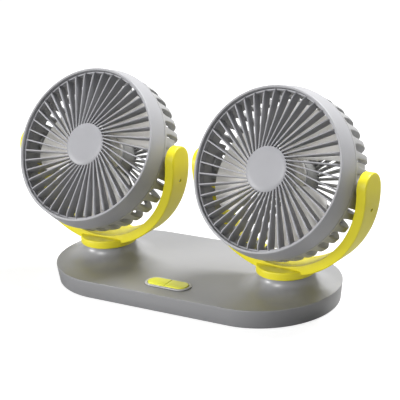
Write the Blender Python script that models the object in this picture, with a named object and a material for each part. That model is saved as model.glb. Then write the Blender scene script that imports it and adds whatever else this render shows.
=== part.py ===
"""A car fan with two heads. Each head tilts in a yoke, and each yoke swivels on the shared base.

Metres, +Z up, and the front faces -Y. A head is built about its own axis: X to the right, Y up and
Z forwards, with its origin on the tilt axis.
"""

import math

import bmesh
import bpy

# Clearances
FIT = 0.0003
OVERRUN = 0.002

# Base
BASE_WIDTH = 0.114
DECK_HEIGHT = 0.0146
DECK_WALL = 0.0022
SIDE_WALL = 0.0022
BASE_DRAFT = 0.0018
BASE_EDGE = 0.0006
BASE_FOOT_EDGE = 0.0010
SHELL_LIFT = 0.0005
PAD_THICKNESS = 0.0011
PAD_INSET = 0.0045
PLATE_THICKNESS = 0.0018
CORNER_STEPS = 13

# Pedestals that carry the heads
PEDESTAL_TOP_RADIUS = 0.0206
PEDESTAL_FLARE = 0.0169
PEDESTAL_MARGIN = 0.0004
PEDESTAL_RISE = 0.0105
PEDESTAL_WALL = 0.0022
PEDESTAL_STEPS = 28
FLARE_STEPS = 4

# Swivel
SPINDLE_RADIUS = 0.0046
SPINDLE_BORE_RADIUS = 0.0028
SPINDLE_HEAD_RADIUS = 0.0062
SPINDLE_HEAD_THICKNESS = 0.0015
SPINDLE_TAIL = 0.0025
SPRING_WASHER_RADIUS = 0.0100
SPRING_WASHER_THICKNESS = 0.0010
SWIVEL_NUT_RADIUS = 0.0095
SWIVEL_NUT_THICKNESS = 0.0040
SPINDLE_STEPS = 14
NUT_SIDES = 6

# Yokes
HEAD_CLEARANCE = 0.00066
YOKE_SPACING = 0.0132
YOKE_SEAT = 0.0002
YOKE_THICKNESS = 0.0071
YOKE_DEPTH = 0.0224
YOKE_EDGE = 0.0008
YOKE_STEPS = 21
YOKE_CROWN_STEPS = 4
TURNTABLE_OVERHANG = 0.0013
TURNTABLE_THICKNESS = 0.0060
TURNTABLE_EDGE = 0.0008
TURNTABLE_STEPS = 26

# Cover strip inside each yoke
COVER_THICKNESS = 0.0017
COVER_WIDTH = 0.0134
COVER_END_ANGLE = math.radians(8)
CHANNEL_DEPTH = 0.0022
CHANNEL_WIDTH = 0.0100
COVER_STEPS = 15
ARM_SCREW_DROP = 0.0152
ARM_SCREW_HEAD_RADIUS = 0.00125
ARM_SCREW_HEAD_THICKNESS = 0.0008
ARM_SCREW_SHANK_RADIUS = 0.0007
ARM_SCREW_RECESS = 0.0004
ARM_SCREW_GRIP = 0.0014
COVER_BOSS_RADIUS = 0.0024

# Head pivots
BOSS_RADIUS = 0.0062
BOSS_INSET = 0.0017
BOSS_BORE_SINK = 0.0022
PIVOT_PIN_RADIUS = 0.0020
PIVOT_PIN_HEAD_RADIUS = 0.0032
PIVOT_PIN_GRIP = 0.0048
FRICTION_WASHER_RADIUS = 0.0058
FRICTION_WASHER_THICKNESS = 0.0011
WASHER_SEAT_DEPTH = 0.0003
PIVOT_STEPS = 12

# Rest pose of the heads
LEFT_TILT = math.radians(29.4)
RIGHT_TILT = math.radians(26.0)
LEFT_SWIVEL = 0.0
RIGHT_SWIVEL = math.radians(-4.2)
LEFT_BLADE_ANGLE = math.radians(56)
RIGHT_BLADE_ANGLE = math.radians(72)

# Front ring
RIM_RADIUS = 0.0587
RIM_FRONT = 0.0246
RIM_ROUND = 0.0008
RING_REAR = 0.0100
RING_FLARE = 0.0030
RING_WALL = 0.0016
RING_STEPS = 48

# Front grille
VANE_COUNT = 42
VANE_THICKNESS = 0.0011
VANE_SWEEP = math.radians(20)
VANE_CROWN = 0.0002
VANE_ROOT_DEPTH = 0.0027
VANE_DEPTH = 0.0086
VANE_TIP_DROP = 0.0040
VANE_SECTION_SHARES = (0.0, 0.42, 0.92, 1.0)
TIP_ROUNDING_POWER = 10
HUB_DISC_RADIUS = 0.0162
HUB_DISC_SETBACK = 0.0006
BAND_SETBACK = 0.0030
BAND_THICKNESS = 0.0012

# Rear guard
RIB_COUNT = 36
RIB_THICKNESS = 0.0025
RIB_DEPTH = 0.0060
RIB_SECTIONS = 5
BOWL_DEPTH = 0.0318
BOWL_POWER = 4.2
BOWL_FLANGE_LENGTH = 0.0035
BOWL_SETBACK = 0.0006
PAD_BLOCK_LENGTH = 0.0162
PAD_BLOCK_THICKNESS = 0.0036
PAD_BLOCK_ANGLE = math.radians(15)
PAD_BLOCK_STEPS = 4

# Motor, its cup and its screws
CUP_RADIUS = 0.0155
CUP_FLOOR = 0.0020
CUP_FRONT = -0.0080
MOTOR_RADIUS = 0.0115
MOTOR_FLANGE_RADIUS = 0.0150
MOTOR_FLANGE_THICKNESS = 0.0013
MOTOR_BEARING_RADIUS = 0.0035
MOTOR_BEARING_RISE = 0.0010
MOTOR_BORE_DEPTH = 0.0050
MOTOR_STEPS = 18
MOTOR_SCREW_OFFSET = 0.0135
MOTOR_SCREW_ANGLE = math.radians(40)
MOTOR_SCREW_RADIUS = 0.0006
MOTOR_SCREW_HEAD_RADIUS = 0.0012
MOTOR_SCREW_HEAD_THICKNESS = 0.0007
MOTOR_SCREW_LENGTH = 0.0050
SHAFT_RADIUS = 0.0015
SHAFT_STEPS = 10

# Impeller
BLADE_COUNT = 3
BLADE_TIP_GAP = 0.0042
BLADE_THICKNESS = 0.0014
BLADE_CENTRE = 0.0025
BLADE_ROOT_RISE = 0.0050
BLADE_TIP_RISE = 0.0090
BLADE_STATION_SHARES = (0.0, 0.35, 0.75, 1.0)
BLADE_CHORD_SHARES = (0.62, 0.90, 1.0, 0.78)
BLADE_HALF_CHORD = math.radians(43)
BLADE_LAG = math.radians(10)
BLADE_CHORD_STEPS = 6
SPINNER_RADIUS = 0.0160
SPINNER_WALL = 0.0016
SPINNER_FRONT = 0.0110
SPINNER_REAR = -0.0045
SPINNER_BOSS_RADIUS = 0.0042
SPINNER_EDGE = 0.0020
SPINNER_STEPS = 24

# Buttons, bezel, switches and board
BUTTON_LENGTH = 0.0334
BUTTON_WIDTH = 0.0116
BUTTON_INSET = 0.0198
BUTTON_GAP = 0.0006
BUTTON_PROUD = 0.0018
BUTTON_TRAVEL = 0.0008
BUTTON_LIP = 0.0007
BUTTON_LIP_THICKNESS = 0.0008
BUTTON_CORNER_STEPS = 7
BEZEL_WALL = 0.0011
BEZEL_RISE = 0.0010
BEZEL_FLANGE = 0.0008
BEZEL_FLANGE_THICKNESS = 0.0007
BOARD_LENGTH = 0.0480
BOARD_WIDTH = 0.0260
BOARD_THICKNESS = 0.0016
BOARD_POST_HEIGHT = 0.0006
BOARD_POST_RADIUS = 0.0020
BOARD_POST_INSET = 0.0035
SWITCH_SIDE = 0.0060
SWITCH_HEIGHT = 0.0026
SWITCH_WELL = 0.0016
PLUNGER_RADIUS = 0.0016
PLUNGER_RISE = 0.0013

# Power socket in the rear wall
SOCKET_WIDTH = 0.0090
SOCKET_HEIGHT = 0.0033
SOCKET_DEPTH = 0.0075
SOCKET_WALL = 0.0004
SOCKET_FLOOR = 0.0012
SOCKET_RIM_INSET = 0.0004
SOCKET_Z = 0.0072

# Screws that hold the base together
SCREW_HEAD_RADIUS = 0.0021
SCREW_HEAD_THICKNESS = 0.0008
SCREW_SHANK_RADIUS = 0.0011
SCREW_LENGTH = 0.0055
POST_RADIUS = 0.0032
SCREW_EDGE = 0.0095
SCREW_ANGLE = math.radians(40)
SCREW_STEPS = 8

SHARP_ANGLE = math.radians(35)

# Levels, radii and distances worked out from the sizes above
PAD_TOP = PAD_THICKNESS
PLATE_BOTTOM = PAD_TOP + FIT
PLATE_TOP = PLATE_BOTTOM + PLATE_THICKNESS
DECK_UNDERSIDE = DECK_HEIGHT - DECK_WALL
PEDESTAL_TOP = DECK_HEIGHT + PEDESTAL_RISE
PEDESTAL_FOOT_RADIUS = PEDESTAL_TOP_RADIUS + PEDESTAL_FLARE
TURNTABLE_BOTTOM = PEDESTAL_TOP + FIT
TURNTABLE_RADIUS = PEDESTAL_TOP_RADIUS + TURNTABLE_OVERHANG
YOKE_INNER_RADIUS = math.hypot(RIM_RADIUS, RIM_FRONT) + HEAD_CLEARANCE
YOKE_OUTER_RADIUS = YOKE_INNER_RADIUS + YOKE_THICKNESS
PIVOT_HEIGHT = TURNTABLE_BOTTOM + YOKE_SEAT + YOKE_OUTER_RADIUS
HEAD_SPACING = 2 * YOKE_OUTER_RADIUS + YOKE_SPACING
BASE_LENGTH = HEAD_SPACING + 2 * (PEDESTAL_FOOT_RADIUS + BASE_EDGE + PEDESTAL_MARGIN)
COVER_RADIUS = YOKE_INNER_RADIUS + COVER_THICKNESS
CHANNEL_RADIUS = COVER_RADIUS + FIT + CHANNEL_DEPTH
CHANNEL_FLOOR = PIVOT_HEIGHT - CHANNEL_RADIUS
COVER_HALF_STEP = (math.pi / 2 - COVER_END_ANGLE) / (COVER_STEPS - 1)
COVER_BOSS_END = CHANNEL_RADIUS * math.cos(COVER_HALF_STEP) - FIT
BAND_FRONT = RIM_FRONT - BAND_SETBACK
RING_REAR_RADIUS = RIM_RADIUS + RING_FLARE
RING_MOUTH_RADIUS = RIM_RADIUS - RING_WALL
BAND_RADIUS = RING_MOUTH_RADIUS - FIT
BAND_INNER_RADIUS = BAND_RADIUS - BAND_THICKNESS
BLADE_TIP_RADIUS = BAND_INNER_RADIUS - BLADE_TIP_GAP
HUB_DISC_FRONT = RIM_FRONT - HUB_DISC_SETBACK
BAND_BACK = HUB_DISC_FRONT + VANE_CROWN - VANE_DEPTH
SPIGOT_FRONT = BAND_BACK - FIT
FLANGE_FRONT = RING_REAR - FIT
FLANGE_REAR = FLANGE_FRONT - BOWL_FLANGE_LENGTH
BOWL_RADIUS = RING_REAR_RADIUS - BOWL_SETBACK
BOWL_BACK = FLANGE_REAR - BOWL_DEPTH
WASHER_SEAT_X = YOKE_INNER_RADIUS + WASHER_SEAT_DEPTH
WASHER_OUTER_X = WASHER_SEAT_X - FIT
WASHER_INNER_X = WASHER_OUTER_X - FRICTION_WASHER_THICKNESS
BOSS_END = WASHER_INNER_X - FIT
BOSS_START = BAND_INNER_RADIUS - BOSS_INSET
MOTOR_BACK = BOWL_BACK + CUP_FLOOR + FIT
MOTOR_FLANGE_BACK = CUP_FRONT + FIT
MOTOR_FRONT = MOTOR_FLANGE_BACK + MOTOR_FLANGE_THICKNESS
CUP_BORE_RADIUS = MOTOR_RADIUS + FIT
BUTTON_Y = BUTTON_INSET - BASE_WIDTH / 2
SWITCH_OFFSET = BUTTON_LENGTH / 4
BOARD_BOTTOM = PLATE_TOP + BOARD_POST_HEIGHT + FIT
BOARD_TOP = BOARD_BOTTOM + BOARD_THICKNESS
SWITCH_BOTTOM = BOARD_TOP + FIT
SWITCH_TOP = SWITCH_BOTTOM + SWITCH_HEIGHT
PLUNGER_TOP = SWITCH_TOP + PLUNGER_RISE
BUTTON_BOTTOM = PLUNGER_TOP + FIT
BUTTON_TOP = DECK_HEIGHT + BUTTON_PROUD


def clear_scene():
    for thing in list(bpy.data.objects):
        bpy.data.objects.remove(thing)


def paint(name, colour, roughness, metallic=0.0):
    found = bpy.data.materials.new(name)
    found.use_nodes = True
    shader = found.node_tree.nodes["Principled BSDF"]
    shader.inputs["Base Color"].default_value = (*colour, 1.0)
    shader.inputs["Roughness"].default_value = roughness
    shader.inputs["Metallic"].default_value = metallic
    found.diffuse_color = (*colour, 1.0)
    return found


def empty(name, location, rotation=(0, 0, 0), parent=None):
    mark = bpy.data.objects.new(name, None)
    bpy.context.scene.collection.objects.link(mark)
    mark.location = location
    mark.rotation_euler = rotation
    mark.parent = parent
    return mark


def add_piece(name, body, look, parent=None, location=(0, 0, 0), rotation=(0, 0, 0)):
    """Turns a bmesh into an object with outward faces, smooth on its round sides."""
    bmesh.ops.recalc_face_normals(body, faces=body.faces)
    mesh = bpy.data.meshes.new(name)
    body.to_mesh(mesh)
    body.free()
    mesh.shade_smooth()
    mesh.set_sharp_from_angle(angle=SHARP_ANGLE)
    piece = bpy.data.objects.new(name, mesh)
    bpy.context.scene.collection.objects.link(piece)
    if look:
        mesh.materials.append(look)
    piece.location = location
    piece.rotation_euler = rotation
    piece.parent = parent
    return piece


def shape_with(target, helper, operation):
    """Cuts the helper from the target, or joins it, and keeps the helper out of the render."""
    helper.hide_render = True
    helper.display_type = "WIRE"
    step = target.modifiers.new(helper.name, "BOOLEAN")
    step.operation = operation
    step.solver = "EXACT"
    step.object = helper


def cut(target, name, body, parent=None, location=(0, 0, 0), rotation=(0, 0, 0)):
    shape_with(target, add_piece(name, body, None, parent, location, rotation), "DIFFERENCE")


def join(target, name, body, parent=None, location=(0, 0, 0), rotation=(0, 0, 0)):
    shape_with(target, add_piece(name, body, None, parent, location, rotation), "UNION")


def even_angles(steps, start=0.0, sweep=2 * math.pi, ends=False):
    spans = steps - 1 if ends else steps
    return [start + sweep * index / spans for index in range(steps)]


def turned_wall(body, profile, angles, closed, socket=None, around=True):
    """Turns a profile of (radius, height) points round Z. The socket level misses every other panel."""
    poles = {}
    for index, (radius, height) in enumerate(profile):
        if radius == 0:
            poles[index] = body.verts.new((0, 0, height))
    columns = []
    for angle in angles:
        column = []
        for index, (radius, height) in enumerate(profile):
            point = (radius * math.cos(angle), radius * math.sin(angle), height)
            column.append(poles[index] if index in poles else body.verts.new(point))
        columns.append(column)
    levels = len(profile) if closed else len(profile) - 1
    panels = len(columns) if around else len(columns) - 1
    for index in range(panels):
        near = columns[index]
        far = columns[(index + 1) % len(columns)]
        for level in range(levels):
            if level == socket and index % 2 == 0:
                continue
            above = (level + 1) % len(profile)
            corners = [near[level], far[level], far[above], near[above]]
            body.faces.new(list(dict.fromkeys(corners)))
    return columns


def turned(profile, steps, closed=False):
    """A solid of revolution. An open profile starts and ends on the axis."""
    body = bmesh.new()
    turned_wall(body, profile, even_angles(steps), closed)
    return body


def wedge(profile, angles):
    """A stretch of a turned wall, closed at both ends."""
    body = bmesh.new()
    columns = turned_wall(body, profile, angles, True, around=False)
    body.faces.new(columns[0])
    body.faces.new(columns[-1])
    return body


def cylinder(radius, bottom, top, steps):
    return turned([(0, bottom), (radius, bottom), (radius, top), (0, top)], steps)


def tube(inner, outer, bottom, top, steps):
    return turned([(inner, bottom), (outer, bottom), (outer, top), (inner, top)], steps, closed=True)


def headed_pin(head_radius, head_thickness, radius, length, steps):
    """A pin along +Z with its head below zero and its shank above."""
    profile = [(0, -head_thickness), (head_radius, -head_thickness), (head_radius, 0), (radius, 0)]
    return turned([*profile, (radius, length), (0, length)], steps)


def loft(sections):
    """A closed solid through loops of equal count, capped at both ends."""
    body = bmesh.new()
    loops = [[body.verts.new(point) for point in section] for section in sections]
    for near, far in zip(loops, loops[1:]):
        for index in range(len(near)):
            after = (index + 1) % len(near)
            body.faces.new([near[index], near[after], far[after], far[index]])
    body.faces.new(loops[0])
    body.faces.new(loops[-1])
    return body


def at_height(outline, height):
    return [(x, y, height) for x, y in outline]


def prism(outline, bottom, top):
    return loft([at_height(outline, bottom), at_height(outline, top)])


def box(width, depth, bottom, top):
    x = width / 2
    y = depth / 2
    return prism([(-x, -y), (x, -y), (x, y), (-x, y)], bottom, top)


def stadium(length, width, steps):
    """An outline with straight sides and round ends, in order round the origin."""
    radius = width / 2
    reach = length / 2 - radius
    outline = []
    for sign, start in ((1, -math.pi / 2), (-1, math.pi / 2)):
        for angle in even_angles(steps, start, math.pi, ends=True):
            outline.append((sign * reach + radius * math.cos(angle), radius * math.sin(angle)))
    return outline


def base_outline(inset):
    return stadium(BASE_LENGTH - 2 * inset, BASE_WIDTH - 2 * inset, CORNER_STEPS)


def half_stadium(length, width, gap, sign):
    """The half of a stadium on one side of a gap at x = 0."""
    radius = width / 2
    reach = length / 2 - radius
    outline = [(sign * gap / 2, -radius)]
    for angle in even_angles(BUTTON_CORNER_STEPS, -math.pi / 2, math.pi, ends=True):
        outline.append((sign * (reach + radius * math.cos(angle)), radius * math.sin(angle)))
    outline.append((sign * gap / 2, radius))
    return outline


def flare(wall):
    """The pedestal's concave side, from its foot on the deck to its top, moved inwards by the wall."""
    run = PEDESTAL_FOOT_RADIUS - PEDESTAL_TOP_RADIUS
    points = []
    for step in range(FLARE_STEPS + 1):
        angle = math.pi / 2 * step / FLARE_STEPS
        radius = PEDESTAL_FOOT_RADIUS - run * math.sin(angle) - wall
        points.append((radius, DECK_HEIGHT + PEDESTAL_RISE * (1 - math.cos(angle)) - wall))
    return points


def head_positions():
    return (("left", -HEAD_SPACING / 2), ("right", HEAD_SPACING / 2))


def screw_positions():
    """Four places near the base's round ends."""
    reach = BASE_WIDTH / 2 - SCREW_EDGE
    x = (BASE_LENGTH - BASE_WIDTH) / 2 + reach * math.cos(SCREW_ANGLE)
    y = reach * math.sin(SCREW_ANGLE)
    return [(x * end, y * side) for end in (-1, 1) for side in (-1, 1)]


def make_top_shell(look):
    foot = BASE_DRAFT + BASE_FOOT_EDGE
    sections = [
        at_height(base_outline(foot), SHELL_LIFT),
        at_height(base_outline(BASE_DRAFT), SHELL_LIFT + BASE_FOOT_EDGE),
        at_height(base_outline(0), DECK_HEIGHT - BASE_EDGE),
        at_height(base_outline(BASE_EDGE), DECK_HEIGHT),
    ]
    shell = add_piece("base_top_shell", loft(sections), look)
    cavity = [
        at_height(base_outline(foot + SIDE_WALL), SHELL_LIFT - OVERRUN),
        at_height(base_outline(foot + SIDE_WALL), PLATE_TOP),
        at_height(base_outline(BASE_DRAFT + SIDE_WALL), DECK_UNDERSIDE),
    ]
    for side, x in head_positions():
        outer = flare(0)
        solid = [(0, DECK_UNDERSIDE), (outer[0][0], DECK_UNDERSIDE), *outer, (0, PEDESTAL_TOP)]
        join(shell, side + "_pedestal_solid", turned(solid, PEDESTAL_STEPS), None, (x, 0, 0))
    cut(shell, "base_cavity", loft(cavity))
    for side, x in head_positions():
        inner = flare(PEDESTAL_WALL)
        hollow = [(0, PLATE_TOP), (inner[0][0], PLATE_TOP), *inner, (0, inner[-1][1])]
        cut(shell, side + "_pedestal_hollow", turned(hollow, PEDESTAL_STEPS), None, (x, 0, 0))
        bore = cylinder(SPINDLE_RADIUS + FIT, DECK_HEIGHT, PEDESTAL_TOP + OVERRUN, SPINDLE_STEPS)
        cut(shell, side + "_pedestal_bore", bore, None, (x, 0, 0))
    margin = BEZEL_WALL + FIT
    window = stadium(bezel_length(margin), bezel_width(margin), BUTTON_CORNER_STEPS)
    cut(shell, "button_window", prism(window, PLATE_TOP, DECK_HEIGHT + OVERRUN), None, (0, BUTTON_Y, 0))
    for index, (x, y) in enumerate(screw_positions()):
        top = DECK_UNDERSIDE + DECK_WALL / 2
        post = tube(SCREW_SHANK_RADIUS + FIT, POST_RADIUS, PLATE_TOP + FIT, top, SCREW_STEPS)
        join(shell, "post_" + str(index + 1), post, None, (x, y, 0))
    opening_top = SOCKET_HEIGHT / 2 + FIT
    opening = box(SOCKET_WIDTH + 2 * FIT, 2 * SOCKET_DEPTH, -opening_top, opening_top)
    cut(shell, "socket_window", opening, None, (0, BASE_WIDTH / 2, SOCKET_Z))


def make_bottom_plate(look):
    inset = BASE_DRAFT + BASE_FOOT_EDGE + SIDE_WALL + FIT
    plate = add_piece("base_bottom_plate", prism(base_outline(inset), PLATE_BOTTOM, PLATE_TOP), look)
    for index, (x, y) in enumerate(screw_positions()):
        seat = PLATE_BOTTOM + SCREW_HEAD_THICKNESS + 2 * FIT
        profile = [
            (0, PLATE_BOTTOM - OVERRUN),
            (SCREW_HEAD_RADIUS + FIT, PLATE_BOTTOM - OVERRUN),
            (SCREW_HEAD_RADIUS + FIT, seat),
            (SCREW_SHANK_RADIUS + FIT, seat),
            (SCREW_SHANK_RADIUS + FIT, PLATE_TOP + OVERRUN),
            (0, PLATE_TOP + OVERRUN),
        ]
        cut(plate, "plate_hole_" + str(index + 1), turned(profile, SCREW_STEPS), None, (x, y, 0))
    for index, x in enumerate((-1, 1)):
        for side, y in enumerate((-1, 1)):
            post_x = x * (BOARD_LENGTH / 2 - BOARD_POST_INSET)
            post_y = BUTTON_Y + y * (BOARD_WIDTH / 2 - BOARD_POST_INSET)
            bottom = PLATE_TOP - PLATE_THICKNESS / 2
            post = cylinder(BOARD_POST_RADIUS, bottom, BOARD_BOTTOM - FIT, SCREW_STEPS)
            join(plate, "board_post_" + str(2 * index + side + 1), post, None, (post_x, post_y, 0))
    cradle_y = BASE_WIDTH / 2 - BASE_DRAFT - SIDE_WALL - FIT - SOCKET_DEPTH / 2 - SOCKET_WALL
    cradle = box(SOCKET_WIDTH, SOCKET_DEPTH / 2, PLATE_TOP - PLATE_THICKNESS / 2, socket_bottom() - FIT)
    join(plate, "socket_cradle", cradle, None, (0, cradle_y, 0))


def make_pad(look):
    inset = BASE_DRAFT + PAD_INSET
    add_piece("anti_slip_pad", prism(base_outline(inset), 0, PAD_TOP), look)


def bezel_length(margin):
    return BUTTON_LENGTH + 2 * (FIT + margin)


def bezel_width(margin):
    return BUTTON_WIDTH + 2 * (FIT + margin)


def make_bezel(look):
    """A sleeve through the deck with a flange that rests on it."""
    steps = BUTTON_CORNER_STEPS
    margin = BEZEL_WALL + BEZEL_FLANGE
    flange = stadium(bezel_length(margin), bezel_width(margin), steps)
    sleeve = stadium(bezel_length(BEZEL_WALL), bezel_width(BEZEL_WALL), steps)
    hole = stadium(bezel_length(0), bezel_width(0), steps)
    top = DECK_HEIGHT + BEZEL_RISE
    flange_bottom = DECK_HEIGHT + FIT
    sleeve_bottom = BUTTON_BOTTOM + BUTTON_LIP_THICKNESS + FIT
    loops = [
        at_height(hole, sleeve_bottom),
        at_height(sleeve, sleeve_bottom),
        at_height(sleeve, flange_bottom),
        at_height(flange, flange_bottom),
        at_height(flange, top - BEZEL_FLANGE_THICKNESS / 2),
        at_height(sleeve, top),
        at_height(hole, top),
    ]
    body = bmesh.new()
    rings = [[body.verts.new(point) for point in loop] for loop in loops]
    for near, far in zip(rings, [*rings[1:], rings[0]]):
        for index in range(len(near)):
            after = (index + 1) % len(near)
            body.faces.new([near[index], near[after], far[after], far[index]])
    add_piece("button_bezel", body, look, None, (0, BUTTON_Y, 0))


def make_buttons(look):
    for side, sign in (("left", -1), ("right", 1)):
        lip_length = BUTTON_LENGTH + 2 * BUTTON_LIP
        lip = half_stadium(lip_length, BUTTON_WIDTH + 2 * BUTTON_LIP, BUTTON_GAP, sign)
        cap = half_stadium(BUTTON_LENGTH, BUTTON_WIDTH, BUTTON_GAP, sign)
        lip_top = BUTTON_BOTTOM + BUTTON_LIP_THICKNESS
        sections = [
            at_height(lip, BUTTON_BOTTOM),
            at_height(lip, lip_top),
            at_height(cap, lip_top),
            at_height(cap, BUTTON_TOP),
        ]
        add_piece(side + "_button", loft(sections), look, None, (0, BUTTON_Y, 0))


def make_switches(board_look, body_look, plunger_look):
    board = box(BOARD_LENGTH, BOARD_WIDTH, BOARD_BOTTOM, BOARD_TOP)
    add_piece("control_board", board, board_look, None, (0, BUTTON_Y, 0))
    for side, sign in (("left", -1), ("right", 1)):
        place = (sign * SWITCH_OFFSET, BUTTON_Y, 0)
        case = box(SWITCH_SIDE, SWITCH_SIDE, SWITCH_BOTTOM, SWITCH_TOP)
        switch = add_piece(side + "_switch_body", case, body_look, None, place)
        well = cylinder(PLUNGER_RADIUS + FIT, SWITCH_TOP - SWITCH_WELL, SWITCH_TOP + OVERRUN, SHAFT_STEPS)
        cut(switch, side + "_switch_well", well, None, place)
        tip = SWITCH_TOP - SWITCH_WELL + BUTTON_TRAVEL + FIT
        plunger = cylinder(PLUNGER_RADIUS, tip, PLUNGER_TOP, SHAFT_STEPS)
        add_piece(side + "_switch_plunger", plunger, plunger_look, None, place)


def socket_bottom():
    return SOCKET_Z - SOCKET_HEIGHT / 2


def make_socket(look):
    """A metal shell open at the back of the base."""
    steps = BUTTON_CORNER_STEPS
    rear = BASE_WIDTH / 2 - BASE_DRAFT - SOCKET_RIM_INSET
    outline = stadium(SOCKET_WIDTH, SOCKET_HEIGHT, steps)
    mouth = stadium(SOCKET_WIDTH - 2 * SOCKET_WALL, SOCKET_HEIGHT - 2 * SOCKET_WALL, steps)
    upright = (math.pi / 2, 0, 0)
    place = (0, rear, SOCKET_Z)
    shell = add_piece("power_socket", prism(outline, 0, SOCKET_DEPTH), look, None, place, upright)
    cut(shell, "socket_mouth", prism(mouth, -OVERRUN, SOCKET_DEPTH - SOCKET_FLOOR), None, place, upright)


def make_base_screws(look):
    for index, (x, y) in enumerate(screw_positions()):
        screw = headed_pin(
            SCREW_HEAD_RADIUS, SCREW_HEAD_THICKNESS, SCREW_SHANK_RADIUS, SCREW_LENGTH, SCREW_STEPS
        )
        place = (x, y, PLATE_BOTTOM + FIT + SCREW_HEAD_THICKNESS)
        add_piece("base_screw_" + str(index + 1), screw, look, None, place)


def yoke_section(angle, inner, outer, half_width, edge):
    """A rectangle across the band at one angle below the pivot, with its outer corners cut."""
    points = []
    for radius, y in (
        (inner, -half_width),
        (outer - edge, -half_width),
        (outer, -half_width + edge),
        (outer, half_width - edge),
        (outer - edge, half_width),
        (inner, half_width),
    ):
        points.append((radius * math.cos(angle), y, PIVOT_HEIGHT + radius * math.sin(angle)))
    return points


def crown_section(sign, lift, half_width):
    """The same rectangle in an arm's round top, at a height above the pivot."""
    edge = min(YOKE_EDGE, half_width / 2)
    flat = yoke_section(0, YOKE_INNER_RADIUS, YOKE_OUTER_RADIUS, half_width, edge)
    return [(sign * x, y, z + lift) for x, y, z in flat]


def arc_angles(steps, end_angle):
    return even_angles(steps, -end_angle, -(math.pi - 2 * end_angle), ends=True)


def yoke_band():
    """A strap bent to a half circle, with round tops about the tilt axis."""
    half = YOKE_DEPTH / 2
    crown = [math.pi / 2 * step / YOKE_CROWN_STEPS for step in range(1, YOKE_CROWN_STEPS)]
    crown.append(math.pi / 2 * (1 - 1 / (4 * YOKE_CROWN_STEPS)))
    right = [crown_section(1, half * math.sin(angle), half * math.cos(angle)) for angle in reversed(crown)]
    left = [crown_section(-1, half * math.sin(angle), half * math.cos(angle)) for angle in crown]
    middle = [
        yoke_section(angle, YOKE_INNER_RADIUS, YOKE_OUTER_RADIUS, half, YOKE_EDGE)
        for angle in arc_angles(YOKE_STEPS, 0)
    ]
    return loft([*right, *middle, *left])


def curved_strip(inner, outer, width, end_angle, steps):
    sections = []
    for angle in arc_angles(steps, end_angle):
        loop = []
        for radius, y in ((inner, -width / 2), (outer, -width / 2), (outer, width / 2), (inner, width / 2)):
            loop.append((radius * math.cos(angle), y, PIVOT_HEIGHT + radius * math.sin(angle)))
        sections.append(loop)
    return loft(sections)


def arm_screw_angle():
    return math.asin(ARM_SCREW_DROP / YOKE_OUTER_RADIUS)


def arm_rotation(sign):
    """Turns +Z to point from an arm's outer face towards the tilt axis, at the arm screw's height."""
    return (0, sign * (arm_screw_angle() - math.pi / 2), 0)


def arm_place(sign, radius):
    """A point at this radius from the pivot, on the arm screw's line."""
    return (
        sign * radius * math.cos(arm_screw_angle()),
        0,
        PIVOT_HEIGHT - radius * math.sin(arm_screw_angle()),
    )


def make_yoke(side, look, swivel):
    yoke = add_piece(side + "_yoke", yoke_band(), look, swivel)
    top = TURNTABLE_BOTTOM + TURNTABLE_THICKNESS
    disc = [
        (0, TURNTABLE_BOTTOM),
        (TURNTABLE_RADIUS - TURNTABLE_EDGE, TURNTABLE_BOTTOM),
        (TURNTABLE_RADIUS, TURNTABLE_BOTTOM + TURNTABLE_EDGE),
        (TURNTABLE_RADIUS, top - TURNTABLE_EDGE),
        (TURNTABLE_RADIUS - TURNTABLE_EDGE, top),
        (0, top),
    ]
    join(yoke, side + "_turntable", turned(disc, TURNTABLE_STEPS), swivel)
    rebate = curved_strip(
        YOKE_INNER_RADIUS - OVERRUN,
        COVER_RADIUS + FIT,
        COVER_WIDTH + 2 * FIT,
        COVER_END_ANGLE - FIT / COVER_RADIUS,
        COVER_STEPS,
    )
    cut(yoke, side + "_cover_rebate", rebate, swivel)
    channel = curved_strip(COVER_RADIUS, CHANNEL_RADIUS, CHANNEL_WIDTH, COVER_END_ANGLE, COVER_STEPS)
    cut(yoke, side + "_wire_channel", channel, swivel)
    pocket_top = PIVOT_HEIGHT - COVER_RADIUS
    pocket = cylinder(SPINDLE_HEAD_RADIUS + FIT, CHANNEL_FLOOR, pocket_top, SPINDLE_STEPS)
    cut(yoke, side + "_spindle_pocket", pocket, swivel)
    bore_top = CHANNEL_FLOOR + OVERRUN / 2
    bore = cylinder(SPINDLE_RADIUS + FIT, TURNTABLE_BOTTOM - OVERRUN, bore_top, SPINDLE_STEPS)
    cut(yoke, side + "_spindle_hole", bore, swivel)
    for end, sign in (("a", -1), ("b", 1)):
        seat = [
            (0, -OVERRUN),
            (FRICTION_WASHER_RADIUS + FIT, -OVERRUN),
            (FRICTION_WASHER_RADIUS + FIT, 0),
            (PIVOT_PIN_RADIUS + FIT, 0),
            (PIVOT_PIN_RADIUS + FIT, PIVOT_PIN_GRIP + FIT),
            (0, PIVOT_PIN_GRIP + FIT),
        ]
        place = (sign * WASHER_SEAT_X, 0, PIVOT_HEIGHT)
        turn = (0, sign * math.pi / 2, 0)
        cut(yoke, side + "_washer_seat_" + end, turned(seat, PIVOT_STEPS), swivel, place, turn)
        head = ARM_SCREW_HEAD_THICKNESS + ARM_SCREW_RECESS + FIT
        counterbore = [
            (0, -OVERRUN),
            (ARM_SCREW_HEAD_RADIUS + FIT, -OVERRUN),
            (ARM_SCREW_HEAD_RADIUS + FIT, head),
            (ARM_SCREW_SHANK_RADIUS + FIT, head),
            (ARM_SCREW_SHANK_RADIUS + FIT, YOKE_THICKNESS / 2),
            (0, YOKE_THICKNESS / 2),
        ]
        place = arm_place(sign, YOKE_OUTER_RADIUS)
        hole = turned(counterbore, SCREW_STEPS)
        cut(yoke, side + "_arm_hole_" + end, hole, swivel, place, arm_rotation(sign))


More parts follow.
